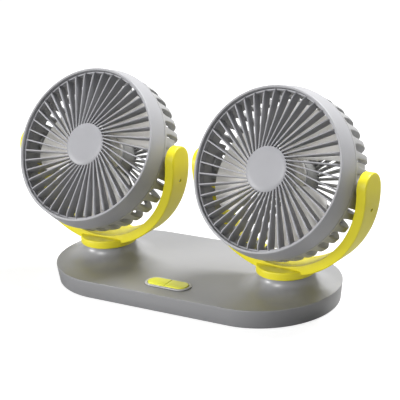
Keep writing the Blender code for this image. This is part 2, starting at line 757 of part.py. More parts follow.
def make_yoke_cover(side, look, swivel):
    strip = curved_strip(YOKE_INNER_RADIUS, COVER_RADIUS, COVER_WIDTH, COVER_END_ANGLE, COVER_STEPS)
    cover = add_piece(side + "_yoke_cover", strip, look, swivel)
    for end, sign in (("a", -1), ("b", 1)):
        boss = cylinder(COVER_BOSS_RADIUS, 0, CHANNEL_DEPTH + COVER_THICKNESS / 2, SCREW_STEPS)
        place = arm_place(sign, COVER_BOSS_END)
        join(cover, side + "_cover_boss_" + end, boss, swivel, place, arm_rotation(sign))
        grip = ARM_SCREW_GRIP + FIT
        hole = cylinder(ARM_SCREW_SHANK_RADIUS + FIT, -OVERRUN / 2, grip, SCREW_STEPS)
        cut(cover, side + "_cover_hole_" + end, hole, swivel, place, arm_rotation(sign))


def make_arm_screws(side, look, swivel):
    for end, sign in (("a", -1), ("b", 1)):
        shoulder = YOKE_OUTER_RADIUS - ARM_SCREW_RECESS - ARM_SCREW_HEAD_THICKNESS
        reach = shoulder - COVER_BOSS_END + ARM_SCREW_GRIP
        screw = headed_pin(
            ARM_SCREW_HEAD_RADIUS, ARM_SCREW_HEAD_THICKNESS, ARM_SCREW_SHANK_RADIUS, reach, SCREW_STEPS
        )
        name = side + "_arm_screw_" + end
        add_piece(name, screw, look, swivel, arm_place(sign, shoulder), arm_rotation(sign))


def make_swivel(side, spindle_look, washer_look, swivel):
    ceiling = PEDESTAL_TOP - PEDESTAL_WALL
    washer_top = ceiling - FIT
    nut_top = washer_top - SPRING_WASHER_THICKNESS - FIT
    nut_bottom = nut_top - SWIVEL_NUT_THICKNESS
    head_bottom = CHANNEL_FLOOR + FIT
    profile = [
        (SPINDLE_BORE_RADIUS, nut_bottom - SPINDLE_TAIL),
        (SPINDLE_RADIUS, nut_bottom - SPINDLE_TAIL),
        (SPINDLE_RADIUS, head_bottom),
        (SPINDLE_HEAD_RADIUS, head_bottom),
        (SPINDLE_HEAD_RADIUS, head_bottom + SPINDLE_HEAD_THICKNESS),
        (SPINDLE_BORE_RADIUS, head_bottom + SPINDLE_HEAD_THICKNESS),
    ]
    add_piece(side + "_swivel_spindle", turned(profile, SPINDLE_STEPS, closed=True), spindle_look, swivel)
    washer = tube(
        SPINDLE_RADIUS + FIT,
        SPRING_WASHER_RADIUS,
        washer_top - SPRING_WASHER_THICKNESS,
        washer_top,
        SPINDLE_STEPS,
    )
    add_piece(side + "_spring_washer", washer, washer_look, swivel)
    hexagon = cylinder(SWIVEL_NUT_RADIUS, nut_bottom, nut_top, NUT_SIDES)
    nut = add_piece(side + "_swivel_nut", hexagon, washer_look, swivel)
    thread = cylinder(SPINDLE_RADIUS + FIT, nut_bottom - OVERRUN, nut_top + OVERRUN, SPINDLE_STEPS)
    cut(nut, side + "_nut_bore", thread, swivel)


def make_front_ring(side, look, head):
    """The outer ring: a thin round rim in front and a wall that opens out towards the rear."""
    inner_rim = RIM_RADIUS - 2 * RIM_ROUND
    profile = [
        (RING_REAR_RADIUS - RING_WALL, RING_REAR),
        (RING_REAR_RADIUS, RING_REAR),
        (RIM_RADIUS, RIM_FRONT - 2 * RIM_ROUND),
        (RIM_RADIUS - RIM_ROUND / 2, RIM_FRONT - RIM_ROUND / 2),
        (RIM_RADIUS - RIM_ROUND, RIM_FRONT),
        (inner_rim, RIM_FRONT - RIM_ROUND / 2),
        (RING_MOUTH_RADIUS, BAND_FRONT),
    ]
    add_piece(side + "_front_ring", turned(profile, RING_STEPS, closed=True), look, head)


def spoke_angles(count, start, half_angle):
    """Two columns for each spoke, on either side of its middle."""
    angles = []
    for index in range(count):
        middle = start + 2 * math.pi * index / count
        angles += [middle - half_angle, middle + half_angle]
    return angles


def bridge(body, near, far):
    for index in range(len(near)):
        after = (index + 1) % len(near)
        body.faces.new([near[index], near[after], far[after], far[index]])


def spoked_solid(hub_profile, hub_socket, rim_profile, rim_socket, count, thickness, sections):
    """A hub and a rim joined by bent spokes, as one closed surface.

    Each section is (turn, first (radius, height), second (radius, height)). The first and last sections
    lie on the socket levels of the hub and of the rim.
    """
    body = bmesh.new()
    turn, (radius, _), _ = sections[0]
    hub = turned_wall(
        body, hub_profile, spoke_angles(count, turn, thickness / (2 * radius)), False, hub_socket
    )
    turn, (radius, _), _ = sections[-1]
    rim = turned_wall(
        body, rim_profile, spoke_angles(count, turn, thickness / (2 * radius)), True, rim_socket
    )
    for index in range(count):
        step = 2 * math.pi * index / count
        left, right = hub[2 * index], hub[2 * index + 1]
        near = [left[hub_socket], right[hub_socket], right[hub_socket + 1], left[hub_socket + 1]]
        for turn, first, second in sections[1:-1]:
            far = []
            for (radius, height), sign in ((first, -1), (first, 1), (second, 1), (second, -1)):
                angle = turn + step + sign * thickness / (2 * radius)
                point = (radius * math.cos(angle), radius * math.sin(angle), height)
                far.append(body.verts.new(point))
            bridge(body, near, far)
            near = far
        left, right = rim[2 * index], rim[2 * index + 1]
        far = [left[rim_socket], right[rim_socket], right[rim_socket + 1], left[rim_socket + 1]]
        bridge(body, near, far)
    return body


def vane_section(share):
    """One section of a front vane: it leans back to the rim, deepens outwards and rounds off at its tip."""
    radius = HUB_DISC_RADIUS + (BAND_INNER_RADIUS - HUB_DISC_RADIUS) * share
    front = HUB_DISC_FRONT + VANE_CROWN * share
    depth = VANE_ROOT_DEPTH + (VANE_DEPTH - VANE_ROOT_DEPTH) * math.sin(math.pi / 2 * share)
    drop = VANE_TIP_DROP * share**TIP_ROUNDING_POWER
    turn = VANE_SWEEP * (1 - share) ** 2
    return (turn, (radius, front - drop), (radius, front - depth))


def make_front_grille(side, look, head):
    sections = [vane_section(share) for share in VANE_SECTION_SHARES]
    _, root_front, root_back = sections[0]
    _, tip_front, tip_back = sections[-1]
    hub = [(0, root_front[1]), root_front, root_back, (0, root_back[1])]
    band = [
        (BAND_RADIUS, BAND_FRONT),
        (BAND_INNER_RADIUS, BAND_FRONT),
        tip_front,
        tip_back,
        (BAND_RADIUS, BAND_BACK),
    ]
    body = spoked_solid(hub, 1, band, 2, VANE_COUNT, VANE_THICKNESS, sections)
    add_piece(side + "_front_grille", body, look, head)


def rib_section(step):
    """One section of a rear rib, on the bowl's curve between the cup and the flange."""
    power = BOWL_POWER
    limit = math.acos((CUP_RADIUS / BOWL_RADIUS) ** (power / 2))
    angle = limit * (1 - step / RIB_SECTIONS)
    across = math.cos(angle) ** (2 / power)
    along = math.sin(angle) ** (2 / power)
    outer = (BOWL_RADIUS * across, FLANGE_REAR - BOWL_DEPTH * along)
    depth = RIB_DEPTH
    share = (outer[0] - CUP_RADIUS) / (BOWL_RADIUS - CUP_RADIUS)
    inner = (outer[0] - depth * share, outer[1] + depth * (1 - share))
    return (0, outer, inner)


def motor_screw_place(sign, height):
    x = MOTOR_SCREW_OFFSET * math.cos(MOTOR_SCREW_ANGLE)
    y = MOTOR_SCREW_OFFSET * math.sin(MOTOR_SCREW_ANGLE)
    return (sign * x, sign * y, height)


def make_rear_guard(side, look, head):
    """A ribbed bowl with a cup for the motor, a spigot for the ring and a boss for each pivot."""
    sections = [rib_section(step) for step in range(RIB_SECTIONS + 1)]
    _, root_back, root_front = sections[0]
    _, tip_outer, tip_inner = sections[-1]
    floor = BOWL_BACK + CUP_FLOOR
    cup = [
        (0, root_back[1]),
        root_back,
        root_front,
        (CUP_RADIUS, CUP_FRONT),
        (CUP_BORE_RADIUS, CUP_FRONT),
        (CUP_BORE_RADIUS, floor),
        (0, floor),
    ]
    rim = [
        (RING_REAR_RADIUS - RING_WALL - FIT, FLANGE_FRONT),
        (RING_REAR_RADIUS, FLANGE_FRONT),
        tip_outer,
        tip_inner,
        (BAND_INNER_RADIUS, SPIGOT_FRONT),
        (BAND_RADIUS, SPIGOT_FRONT),
    ]
    body = spoked_solid(cup, 1, rim, 2, RIB_COUNT, RIB_THICKNESS, sections)
    guard = add_piece(side + "_rear_guard", body, look, head)
    block_outer = BOWL_RADIUS - FIT
    block_inner = block_outer - PAD_BLOCK_THICKNESS
    block_rear = FLANGE_FRONT - PAD_BLOCK_LENGTH
    block_front = FLANGE_FRONT - BOWL_FLANGE_LENGTH / 2
    block = [
        (block_inner, block_rear),
        (block_outer, block_rear),
        (block_outer, block_front),
        (block_inner, block_front),
    ]
    for end, sign in (("a", -1), ("b", 1)):
        middle = 0.0 if sign > 0 else math.pi
        angles = even_angles(PAD_BLOCK_STEPS, middle - PAD_BLOCK_ANGLE, 2 * PAD_BLOCK_ANGLE, ends=True)
        join(guard, side + "_boss_pad_" + end, wedge(block, angles), head)
        turn = (0, sign * math.pi / 2, 0)
        boss_body = cylinder(BOSS_RADIUS, BOSS_START, BOSS_END, PIVOT_STEPS)
        boss = add_piece(side + "_boss_" + end, boss_body, None, head, (0, 0, 0), turn)
        shape_with(guard, boss, "UNION")
    for end, sign in (("a", -1), ("b", 1)):
        turn = (0, sign * math.pi / 2, 0)
        shoulder = BOSS_START + BOSS_BORE_SINK
        bore = [
            (0, BOSS_START - OVERRUN),
            (PIVOT_PIN_HEAD_RADIUS + FIT, BOSS_START - OVERRUN),
            (PIVOT_PIN_HEAD_RADIUS + FIT, shoulder),
            (PIVOT_PIN_RADIUS + FIT, shoulder),
            (PIVOT_PIN_RADIUS + FIT, BOSS_END + OVERRUN),
            (0, BOSS_END + OVERRUN),
        ]
        cut(guard, side + "_boss_bore_" + end, turned(bore, PIVOT_STEPS), head, (0, 0, 0), turn)
    for end, sign in (("a", -1), ("b", 1)):
        hole = cylinder(
            MOTOR_SCREW_RADIUS + FIT, CUP_FRONT - MOTOR_SCREW_LENGTH, CUP_FRONT + OVERRUN, SCREW_STEPS
        )
        cut(guard, side + "_cup_hole_" + end, hole, head, motor_screw_place(sign, 0))


def make_pivots(side, pin_look, washer_look, head):
    shoulder = BOSS_START + BOSS_BORE_SINK - FIT
    reach = WASHER_SEAT_X + PIVOT_PIN_GRIP - shoulder
    thickness = BOSS_BORE_SINK - 2 * FIT
    for end, sign in (("a", -1), ("b", 1)):
        turn = (0, sign * math.pi / 2, 0)
        pin = headed_pin(PIVOT_PIN_HEAD_RADIUS, thickness, PIVOT_PIN_RADIUS, reach, PIVOT_STEPS)
        add_piece(side + "_pivot_pin_" + end, pin, pin_look, head, (sign * shoulder, 0, 0), turn)
        washer = tube(
            PIVOT_PIN_RADIUS + FIT, FRICTION_WASHER_RADIUS, WASHER_INNER_X, WASHER_OUTER_X, PIVOT_STEPS
        )
        add_piece(side + "_friction_washer_" + end, washer, washer_look, head, (0, 0, 0), turn)


def make_motor(side, can_look, screw_look, head):
    bearing_front = MOTOR_FRONT + MOTOR_BEARING_RISE
    profile = [
        (0, MOTOR_BACK),
        (MOTOR_RADIUS, MOTOR_BACK),
        (MOTOR_RADIUS, MOTOR_FLANGE_BACK),
        (MOTOR_FLANGE_RADIUS, MOTOR_FLANGE_BACK),
        (MOTOR_FLANGE_RADIUS, MOTOR_FRONT),
        (MOTOR_BEARING_RADIUS, MOTOR_FRONT),
        (MOTOR_BEARING_RADIUS, bearing_front),
        (SHAFT_RADIUS + FIT, bearing_front),
        (SHAFT_RADIUS + FIT, bearing_front - MOTOR_BORE_DEPTH),
        (0, bearing_front - MOTOR_BORE_DEPTH),
    ]
    motor = add_piece(side + "_motor", turned(profile, MOTOR_STEPS), can_look, head)
    for end, sign in (("a", -1), ("b", 1)):
        hole = cylinder(MOTOR_SCREW_RADIUS + FIT, CUP_FRONT, MOTOR_FRONT + OVERRUN, SCREW_STEPS)
        cut(motor, side + "_flange_hole_" + end, hole, head, motor_screw_place(sign, 0))
        screw = headed_pin(
            MOTOR_SCREW_HEAD_RADIUS,
            MOTOR_SCREW_HEAD_THICKNESS,
            MOTOR_SCREW_RADIUS,
            MOTOR_SCREW_LENGTH,
            SCREW_STEPS,
        )
        place = motor_screw_place(sign, MOTOR_FRONT + FIT)
        add_piece(side + "_motor_screw_" + end, screw, screw_look, head, place, (math.pi, 0, 0))


def blade_points(height_offset):
    """Rows of points from the hub to the tip, each running from the trailing to the leading edge."""
    root = SPINNER_RADIUS - SPINNER_WALL / 2
    rows = []
    for station, chord in zip(BLADE_STATION_SHARES, BLADE_CHORD_SHARES):
        radius = root + (BLADE_TIP_RADIUS - root) * station
        rise = BLADE_ROOT_RISE + (BLADE_TIP_RISE - BLADE_ROOT_RISE) * station
        row = []
        for step in range(BLADE_CHORD_STEPS + 1):
            place = 2 * step / BLADE_CHORD_STEPS - 1
            angle = BLADE_HALF_CHORD * chord * place - BLADE_LAG * station
            height = rise * place * chord + height_offset
            row.append((radius * math.cos(angle), radius * math.sin(angle), height))
        rows.append(row)
    return rows


def blade():
    body = bmesh.new()
    faces = []
    for offset in (-BLADE_THICKNESS / 2, BLADE_THICKNESS / 2):
        faces.append([[body.verts.new(point) for point in row] for row in blade_points(offset)])
    back, front = faces
    rows = len(back)
    columns = BLADE_CHORD_STEPS + 1
    for grid in faces:
        for row in range(rows - 1):
            for column in range(columns - 1):
                near = grid[row]
                far = grid[row + 1]
                body.faces.new([near[column], near[column + 1], far[column + 1], far[column]])
    edge = [(0, column) for column in range(columns)]
    edge += [(row, columns - 1) for row in range(1, rows)]
    edge += [(rows - 1, column) for column in range(columns - 2, -1, -1)]
    edge += [(row, 0) for row in range(rows - 2, 0, -1)]
    for (row, column), (after_row, after_column) in zip(edge, [*edge[1:], edge[0]]):
        near = [back[row][column], back[after_row][after_column]]
        body.faces.new([*near, front[after_row][after_column], front[row][column]])
    return body


def make_impeller(side, blade_angle, look, shaft_look, head):
    """Three broad blades on a spinner. The object's origin is on the spin axis."""
    place = (0, 0, BLADE_CENTRE)
    front = SPINNER_FRONT - BLADE_CENTRE
    rear = SPINNER_REAR - BLADE_CENTRE
    inner = SPINNER_RADIUS - SPINNER_WALL
    bore_end = front - SPINNER_WALL
    profile = [
        (0, front),
        (SPINNER_RADIUS - SPINNER_EDGE, front),
        (SPINNER_RADIUS, front - SPINNER_EDGE),
        (SPINNER_RADIUS, rear),
        (inner, rear),
        (inner, front - SPINNER_WALL - SPINNER_EDGE),
        (inner - SPINNER_EDGE, front - SPINNER_WALL),
        (SPINNER_BOSS_RADIUS, front - SPINNER_WALL),
        (SPINNER_BOSS_RADIUS, rear + SPINNER_WALL),
        (SHAFT_RADIUS + FIT, rear + SPINNER_WALL),
        (SHAFT_RADIUS + FIT, bore_end),
        (0, bore_end),
    ]
    impeller = add_piece(side + "_impeller", turned(profile, SPINNER_STEPS), look, head, place)
    for index in range(BLADE_COUNT):
        turn = blade_angle + 2 * math.pi * index / BLADE_COUNT
        join(impeller, side + "_blade_" + str(index + 1), blade(), head, place, (0, 0, turn))
    shaft_rear = MOTOR_FRONT + MOTOR_BEARING_RISE - MOTOR_BORE_DEPTH + FIT - BLADE_CENTRE
    shaft = cylinder(SHAFT_RADIUS, shaft_rear, bore_end - FIT, SHAFT_STEPS)
    add_piece(side + "_motor_shaft", shaft, shaft_look, head, place)


def make_base(looks):
    make_top_shell(looks["deck"])
    make_bottom_plate(looks["body"])
    make_pad(looks["rubber"])
    make_bezel(looks["bezel"])
    make_buttons(looks["button"])
    make_switches(looks["board"], looks["dark"], looks["yellow"])
    make_socket(looks["steel"])
    make_base_screws(looks["steel"])


def make_head(side, x, pose, looks):
    tilt, swivel_angle, blade_angle = pose
    swivel = empty(side + "_swivel_axis", (x, 0, 0), (0, 0, swivel_angle))
    make_yoke(side, looks["yellow"], swivel)
    make_yoke_cover(side, looks["yellow"], swivel)
    make_arm_screws(side, looks["steel"], swivel)
    make_swivel(side, looks["dark"], looks["steel"], swivel)
    head = empty(side + "_tilt_axis", (0, 0, PIVOT_HEIGHT), (math.pi / 2 - tilt, 0, 0), swivel)
    make_front_ring(side, looks["body"], head)
    make_front_grille(side, looks["grille"], head)
    make_rear_guard(side, looks["body"], head)
    make_pivots(side, looks["steel"], looks["rubber"], head)
    make_motor(side, looks["steel"], looks["steel"], head)
    make_impeller(side, blade_angle, looks["impeller"], looks["steel"], head)


def make_looks():
    return {
        "deck": paint("deck_grey", (0.50, 0.50, 0.49), 0.45),
        "body": paint("body_grey", (0.30, 0.30, 0.33), 0.45),
        "grille": paint("grille_grey", (0.36, 0.36, 0.39), 0.45),
        "bezel": paint("bezel_grey", (0.52, 0.52, 0.52), 0.40),
        "yellow": paint("lemon_yellow", (0.74, 0.66, 0.07), 0.40),
        "button": paint("button_yellow", (0.80, 0.78, 0.08), 0.35),
        "impeller": paint("warm_grey", (0.56, 0.54, 0.50), 0.40),
        "rubber": paint("dark_rubber", (0.03, 0.03, 0.03), 0.80),
        "dark": paint("black_plastic", (0.02, 0.02, 0.02), 0.55),
        "board": paint("board_green", (0.03, 0.16, 0.07), 0.50),
        "steel": paint("plated_steel", (0.55, 0.55, 0.56), 0.30, 1.0),
    }


def main():
    clear_scene()
    looks = make_looks()
    make_base(looks)
    poses = {
        "left": (LEFT_TILT, LEFT_SWIVEL, LEFT_BLADE_ANGLE),
        "right": (RIGHT_TILT, RIGHT_SWIVEL, RIGHT_BLADE_ANGLE),
    }
    for side, x in head_positions():
        make_head(side, x, poses[side], looks)


main()
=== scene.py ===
"""Looks of a car fan with two caged heads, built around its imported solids.

Lengths are in millimetres until a piece is finished, when they become metres. A head is built
about its own axis: X to the right, Y up and Z forwards, with the origin on the tilt axis.
Profiles are (radius, height) points, or (margin, height) points on the base, where the margin is
how far a loop stands outside the base's outline. A third number is the fillet of that corner.
"""

import math

import bmesh
import bpy
from mathutils import Euler, Matrix, Vector


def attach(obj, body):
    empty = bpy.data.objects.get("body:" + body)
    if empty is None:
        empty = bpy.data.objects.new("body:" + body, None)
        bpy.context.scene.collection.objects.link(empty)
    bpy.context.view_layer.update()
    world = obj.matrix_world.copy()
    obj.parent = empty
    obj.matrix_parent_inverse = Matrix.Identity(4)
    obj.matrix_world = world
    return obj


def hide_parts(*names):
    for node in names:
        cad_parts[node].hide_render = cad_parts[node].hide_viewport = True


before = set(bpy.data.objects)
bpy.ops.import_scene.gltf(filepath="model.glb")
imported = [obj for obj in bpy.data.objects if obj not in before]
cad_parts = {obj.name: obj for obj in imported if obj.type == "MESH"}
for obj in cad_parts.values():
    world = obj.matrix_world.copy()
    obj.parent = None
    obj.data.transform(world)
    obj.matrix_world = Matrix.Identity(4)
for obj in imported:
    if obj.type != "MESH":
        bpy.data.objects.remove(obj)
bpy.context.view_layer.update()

MM = 0.001
GAP = 0.3

# Camera
CAMERA_AZIMUTH = math.radians(32.57)
CAMERA_ELEVATION = math.radians(18.95)
CAMERA_ROLL = math.radians(-3.4)
CAMERA_DISTANCE = 0.9244
CAMERA_TARGET = (0.00804, 0.0, 0.0690)
FOCAL_PIXELS = 1256.45
IMAGE_PIXELS = 400
SENSOR = 36
CLIP_NEAR = 0.05
CLIP_FAR = 20

# Lamps: name, place and aim in metres, side in metres, watts
LAMPS = (
    ("top_softbox", (0.3, 0.5, 1.2), (0, 0, 0.06), 0.6, 29),
    ("front_fill", (-0.25, -1.8, 1.05), (0, 0, 0.07), 0.6, 20),
    ("low_left_fill", (-1.5, -1.4, 0.27), (-0.05, 0, 0.02), 0.6, 24),
)

# Stage and world
FLOOR_HALF = 3.0
FLOOR_GREY = 0.42
FLOOR_ROUGHNESS = 0.9
FLOOR_SPECULAR = 0.1
FLOOR_SEEN = 0.80
WORLD_SEEN = 1.0
WORLD_FILL = 0.05

# Moulded plastic: noise scales are per metre, depths in metres
GRAIN_SCALE = 1500
GRAIN_DEPTH = 0.00002
CLOUD_SCALE = 38
STREAK_SCALE = 90
GLOSS_DOWN = 0.02
GLOSS_UP = 0.03
COAT_ROUGHNESS = 0.34
GLOW_RADIUS = (1.0, 0.95, 0.85)
GLOW_SCALE = 0.002

# Angles in degrees above which an edge stays sharp
SHARP = 32
SHELL_SHARP = 25
YOKE_SHARP = 30
RING_SHARP = 30
GUARD_SHARP = 35
GRILLE_SHARP = 40
BUTTON_SHARP = 40
FAN_SHARP = 40

# Base
BASE_LENGTH = 233.0
BASE_WIDTH = 114.0
DECK = 14.6
DECK_WALL = 2.2
SHELL_LIFT = 0.5
DRAFT = 1.8
SIDE_WALL = 2.2
DECK_EDGE = 0.7
DECK_EDGE_REACH = 1.1
FOOT_EDGE = 1.1
FOOT_INSET = DRAFT + FOOT_EDGE + SIDE_WALL
PLATE_BOTTOM = 1.4
PLATE_TOP = 3.2
PLATE_EDGE = 0.25
PAD_TOP = 1.1
PAD_INSET = 6.3
PAD_EDGE = 0.35
PAD_BANDS = 9
# One band and the groove after it, as (inset, height)
PAD_BAND = ((3.0, 0), (3.3, 0.35), (4.2, 0.35), (4.5, 0))
PAD_BAND_PITCH = 4.5
HEAD_X = 78.006
CORNER_STEPS = 72

# Pedestals
TOP_RADIUS = 20.6
FOOT_RADIUS = 37.2
RISE = 10.5
FLARE_STEPS = 20
HOLLOW_INSET = 3
PEDESTAL_EDGE = 0.35
PEDESTAL_STEPS = 128
BORE = 4.9
PEDESTAL_TOP = DECK + RISE

# Buttons and socket
BUTTON_LENGTH = 33.4
BUTTON_WIDTH = 11.6
BUTTON_Y = -37.2
BUTTON_TOP = 16.4
BUTTON_BOTTOM = 10.2
BUTTON_GAP = 0.6
BUTTON_FLANGE = 0.7
BUTTON_FLANGE_HEIGHT = 0.8
BUTTON_EDGE = 0.45
BUTTON_CROWN = 0.12
BUTTON_CROWN_STEPS = 8
BUTTON_CORE = 0.6
BUTTON_STEPS = 24
BEZEL_FOOT = 1.1
BEZEL_WALL = 1.1
BEZEL_LIP = 1.9
BEZEL_HEIGHT = 1.0
WINDOW_MARGIN = 1.7
SOCKET_LENGTH = 9.0
SOCKET_WIDTH = 3.3
SOCKET_Z = 7.2
SOCKET_REAR = 54.8
SOCKET_STEPS = 20
SOCKET_HOLE_Y = 52.0
SOCKET_HOLE = ((0.3, -9.0), (0.3, 3.2), (0.9, 4.2), (0.9, 6.0))
SOCKET_SHELL = ((0, 7.5), (0, 0.15), (-0.12, 0), (-0.28, 0), (-0.4, 0.2), (-0.4, 6.3))
# Sections of the tongue, as (half length, half height, depth)
SOCKET_TONGUE = ((3.1, 0.30, 6.2), (3.1, 0.30, 1.5), (2.9, 0.22, 1.2))

# Yokes
PIVOT = 97.006
YOKE_IN = 64.306
YOKE_OUT = 71.406
YOKE_HALF = 11.2
COVER_OUT = 66.0
COVER_HALF = 6.7
COVER_END = math.radians(8)
COVER_EDGE = 0.3
TURNTABLE_RADIUS = 21.9
TURNTABLE_BOTTOM = 25.4
TURNTABLE_TOP = 31.4
STRAP_STEPS = 96
CROWN_STEPS = 32
ARM_SCREW_DROP = 15.2
SCREW_STEPS = 32
SCREW_HOLE = ((0, -1.6), (1.35, -1.6), (1.35, -0.1), (1.75, 0.35), (1.75, 2), (0, 2))
SCREW = ((0, -4.5), (0.7, -4.5), (0.7, -1.5), (1.25, -1.5), (1.25, -0.75), (1.1, -0.6), (0, -0.55))
SLOT_REACH = 0.8
SLOT_HALF = 0.16
SLOT_FLOOR = -1.0
BORE_STEPS = 48
SPINDLE_BORE = ((0, 20), (BORE, 20), (BORE, 29), (6.5, 29), (6.5, 40), (0, 40))

# Heads
TILT = {"left": math.radians(29.4), "right": math.radians(26.0)}
SWIVEL = {"left": 0.0, "right": math.radians(-4.2)}
BLADE_TURN = {"left": math.radians(56), "right": math.radians(72)}
SIGN = {"left": -1, "right": 1}
RIM = 58.7
RIM_FRONT = 24.6
RING_REAR = 10.0
RING_REAR_RADIUS = 61.7
RING_WALL = 1.6
MOUTH = 57.1
BAND_OUT = 56.8
BAND_IN = 55.6
BAND_FRONT = 21.6
BAND_BACK = 16.4
SPIGOT_FRONT = 16.1
HUB_RADIUS = 16.2
HUB_FRONT = 24.0
HUB_DEPTH = 2.7
DISC_STEPS = 128
VANES = 42
VANE_TURN = math.radians(1.9)
# How far from the head's axis the line of each vane passes
VANE_MISS = 7.4
VANE_STATIONS = 26
VANE_END = 56.9
VANE_OVERLAP = 1.0
VANE_SPACING = 1.1
VANE_SINK = 0.15
VANE_CLIMB = 0.35
VANE_ROOT_DEPTH = 2.6
VANE_DEEPENING = 6.1
VANE_HALF = 0.42
VANE_WIDENING = 0.06
VANE_EDGE = 0.3
VANE_BELLY = 0.06
VANE_BACK_SHARE = 0.85
TIP_ROUND = 4.5
FLANGE_FRONT = 9.7
RIBS = 36
RIB_STATIONS = 30
RIB_ROOT_WIDTH = 2.2
RIB_WIDTH = 4.6
RIB_DEPTH = 5.6
RIB_ROOT_SHARE = 0.62
RIB_EDGE = 0.7
RIB_HEEL = 0.4
RIB_SPREAD = 1.5
RIB_FLARE = 1.3
RIB_FLARE_START = 0.84
RIB_TAIL = 2.0
RIB_OVERLAP = 0.8
BOWL_RADIUS = 61.1
BOWL_REAR = 6.2
BOWL_DEPTH = 31.8
# The bowl is a superellipse: a power of 2 would make it an ellipse
BOWL_POWER = 4.2
BOWL_SAMPLES = 800
CUP_RADIUS = 15.5
CUP_BORE = 11.8
CUP_MOUTH = -8.0
CUP_FLOOR = 2.0
PIVOT_PAD_HALF = math.radians(15)
PIVOT_PAD_BACK = -6.6
PIVOT_PAD_FRONT = 8.0
BOSS = ((0, 54, 0), (6.2, 54, 0.4), (6.2, 62.9, 0.4), (0, 62.9, 0))
WASHER = ((2.3, 63.2, 0), (5.8, 63.2, 0.15), (5.8, 64.3, 0.15), (2.3, 64.3, 0))
STEPS = 192
SMALL_STEPS = 96
PIVOT_STEPS = 64
WEDGE_STEPS = 16

# Motors and impellers
MOTOR = (
    (0, -23.3, 0),
    (3.2, -23.3, 0.2),
    (3.2, -22.9, 0),
    (11.5, -22.9, 0.9),
    (11.5, -7.7, 0),
    (15.0, -7.7, 0.2),
    (15.0, -6.4, 0.2),
    (3.5, -6.4, 0),
    (3.5, -5.4, 0.3),
    (1.8, -5.4, 0),
    (1.8, -10.4, 0),
    (0, -10.4, 0),
)
BLADES = 3
BLADE_ROWS = 16
BLADE_COLUMNS = 28
BLADE_TIP = 51.4
BLADE_CENTRE = 2.5
BLADE_HALF_ANGLE = math.radians(43)
BLADE_SWEEP = math.radians(10)
# The blade's share of its full width at shares of the way from root to tip
BLADE_STATIONS = (0, 0.35, 0.75, 1.0)
BLADE_CHORDS = (0.62, 0.90, 1.0, 0.78)
BLADE_CORNER_START = 0.86
BLADE_CORNER_LOSS = 0.14
BLADE_RISE = 5.0
BLADE_TIP_RISE = 4.0
BLADE_RISE_SHARE = 0.97
BLADE_HALF_THICKNESS = 0.7
BLADE_THINNING = 0.3
BLADE_EDGE = 0.12
SPINNER = 16.0
SPINNER_WALL = 1.6
SPINNER_OVERLAP = 0.8
SPINNER_FRONT = 11.0
SPINNER_BACK = -4.5
SPINNER_INSIDE = 9.4
SHAFT_TUBE = 4.2
SHAFT_TUBE_BACK = -2.9
SHAFT_HOLE = 1.8


# Materials

def material(name, colour, roughness, metallic=0.0):
    """A Principled material, with its tree and shader for what is linked to them."""
    made = bpy.data.materials.new(name)
    made.use_nodes = True
    shader = made.node_tree.nodes["Principled BSDF"]
    shader.inputs["Base Color"].default_value = (*colour, 1)
    shader.inputs["Roughness"].default_value = roughness
    shader.inputs["Metallic"].default_value = metallic
    made.diffuse_color = (*colour, 1)
    return made, made.node_tree, shader


def noise(tree, scale, detail, stretch=(1, 1, 1)):
    """Noise fixed to the piece, with features of about 1 / scale metres."""
    place = tree.nodes.new("ShaderNodeTexCoord")
    mapping = tree.nodes.new("ShaderNodeMapping")
    mapping.inputs["Scale"].default_value = stretch
    texture = tree.nodes.new("ShaderNodeTexNoise")
    texture.inputs["Scale"].default_value = scale
    texture.inputs["Detail"].default_value = detail
    tree.links.new(place.outputs["Object"], mapping.inputs["Vector"])
    tree.links.new(mapping.outputs["Vector"], texture.inputs["Vector"])
    return texture.outputs["Fac"]


def spread(tree, value, low, high):
    """Maps noise, which stays near one half, onto the range from low to high."""
    node = tree.nodes.new("ShaderNodeMapRange")
    node.inputs["From Min"].default_value = 0.3
    node.inputs["From Max"].default_value = 0.7
    node.inputs["To Min"].default_value = low
    node.inputs["To Max"].default_value = high
    tree.links.new(value, node.inputs["Value"])
    return node.outputs["Result"]


def tinted(tree, value, first, second):
    """Goes from the first colour to the second as the value goes from 0 to 1."""
    node = tree.nodes.new("ShaderNodeMix")
    node.data_type = "RGBA"
    node.inputs["A"].default_value = (*first, 1)
    node.inputs["B"].default_value = (*second, 1)
    tree.links.new(value, node.inputs["Factor"])
    return node.outputs["Result"]


def bump(tree, shader, value, strength, distance):
    node = tree.nodes.new("ShaderNodeBump")
    node.inputs["Strength"].default_value = strength
    node.inputs["Distance"].default_value = distance
    tree.links.new(value, node.inputs["Height"])
    tree.links.new(node.outputs["Normal"], shader.inputs["Normal"])


def shaded(colour, factor):
    """The colour, lighter or darker by a factor."""
    return tuple(min(1.0, channel * factor) for channel in colour)


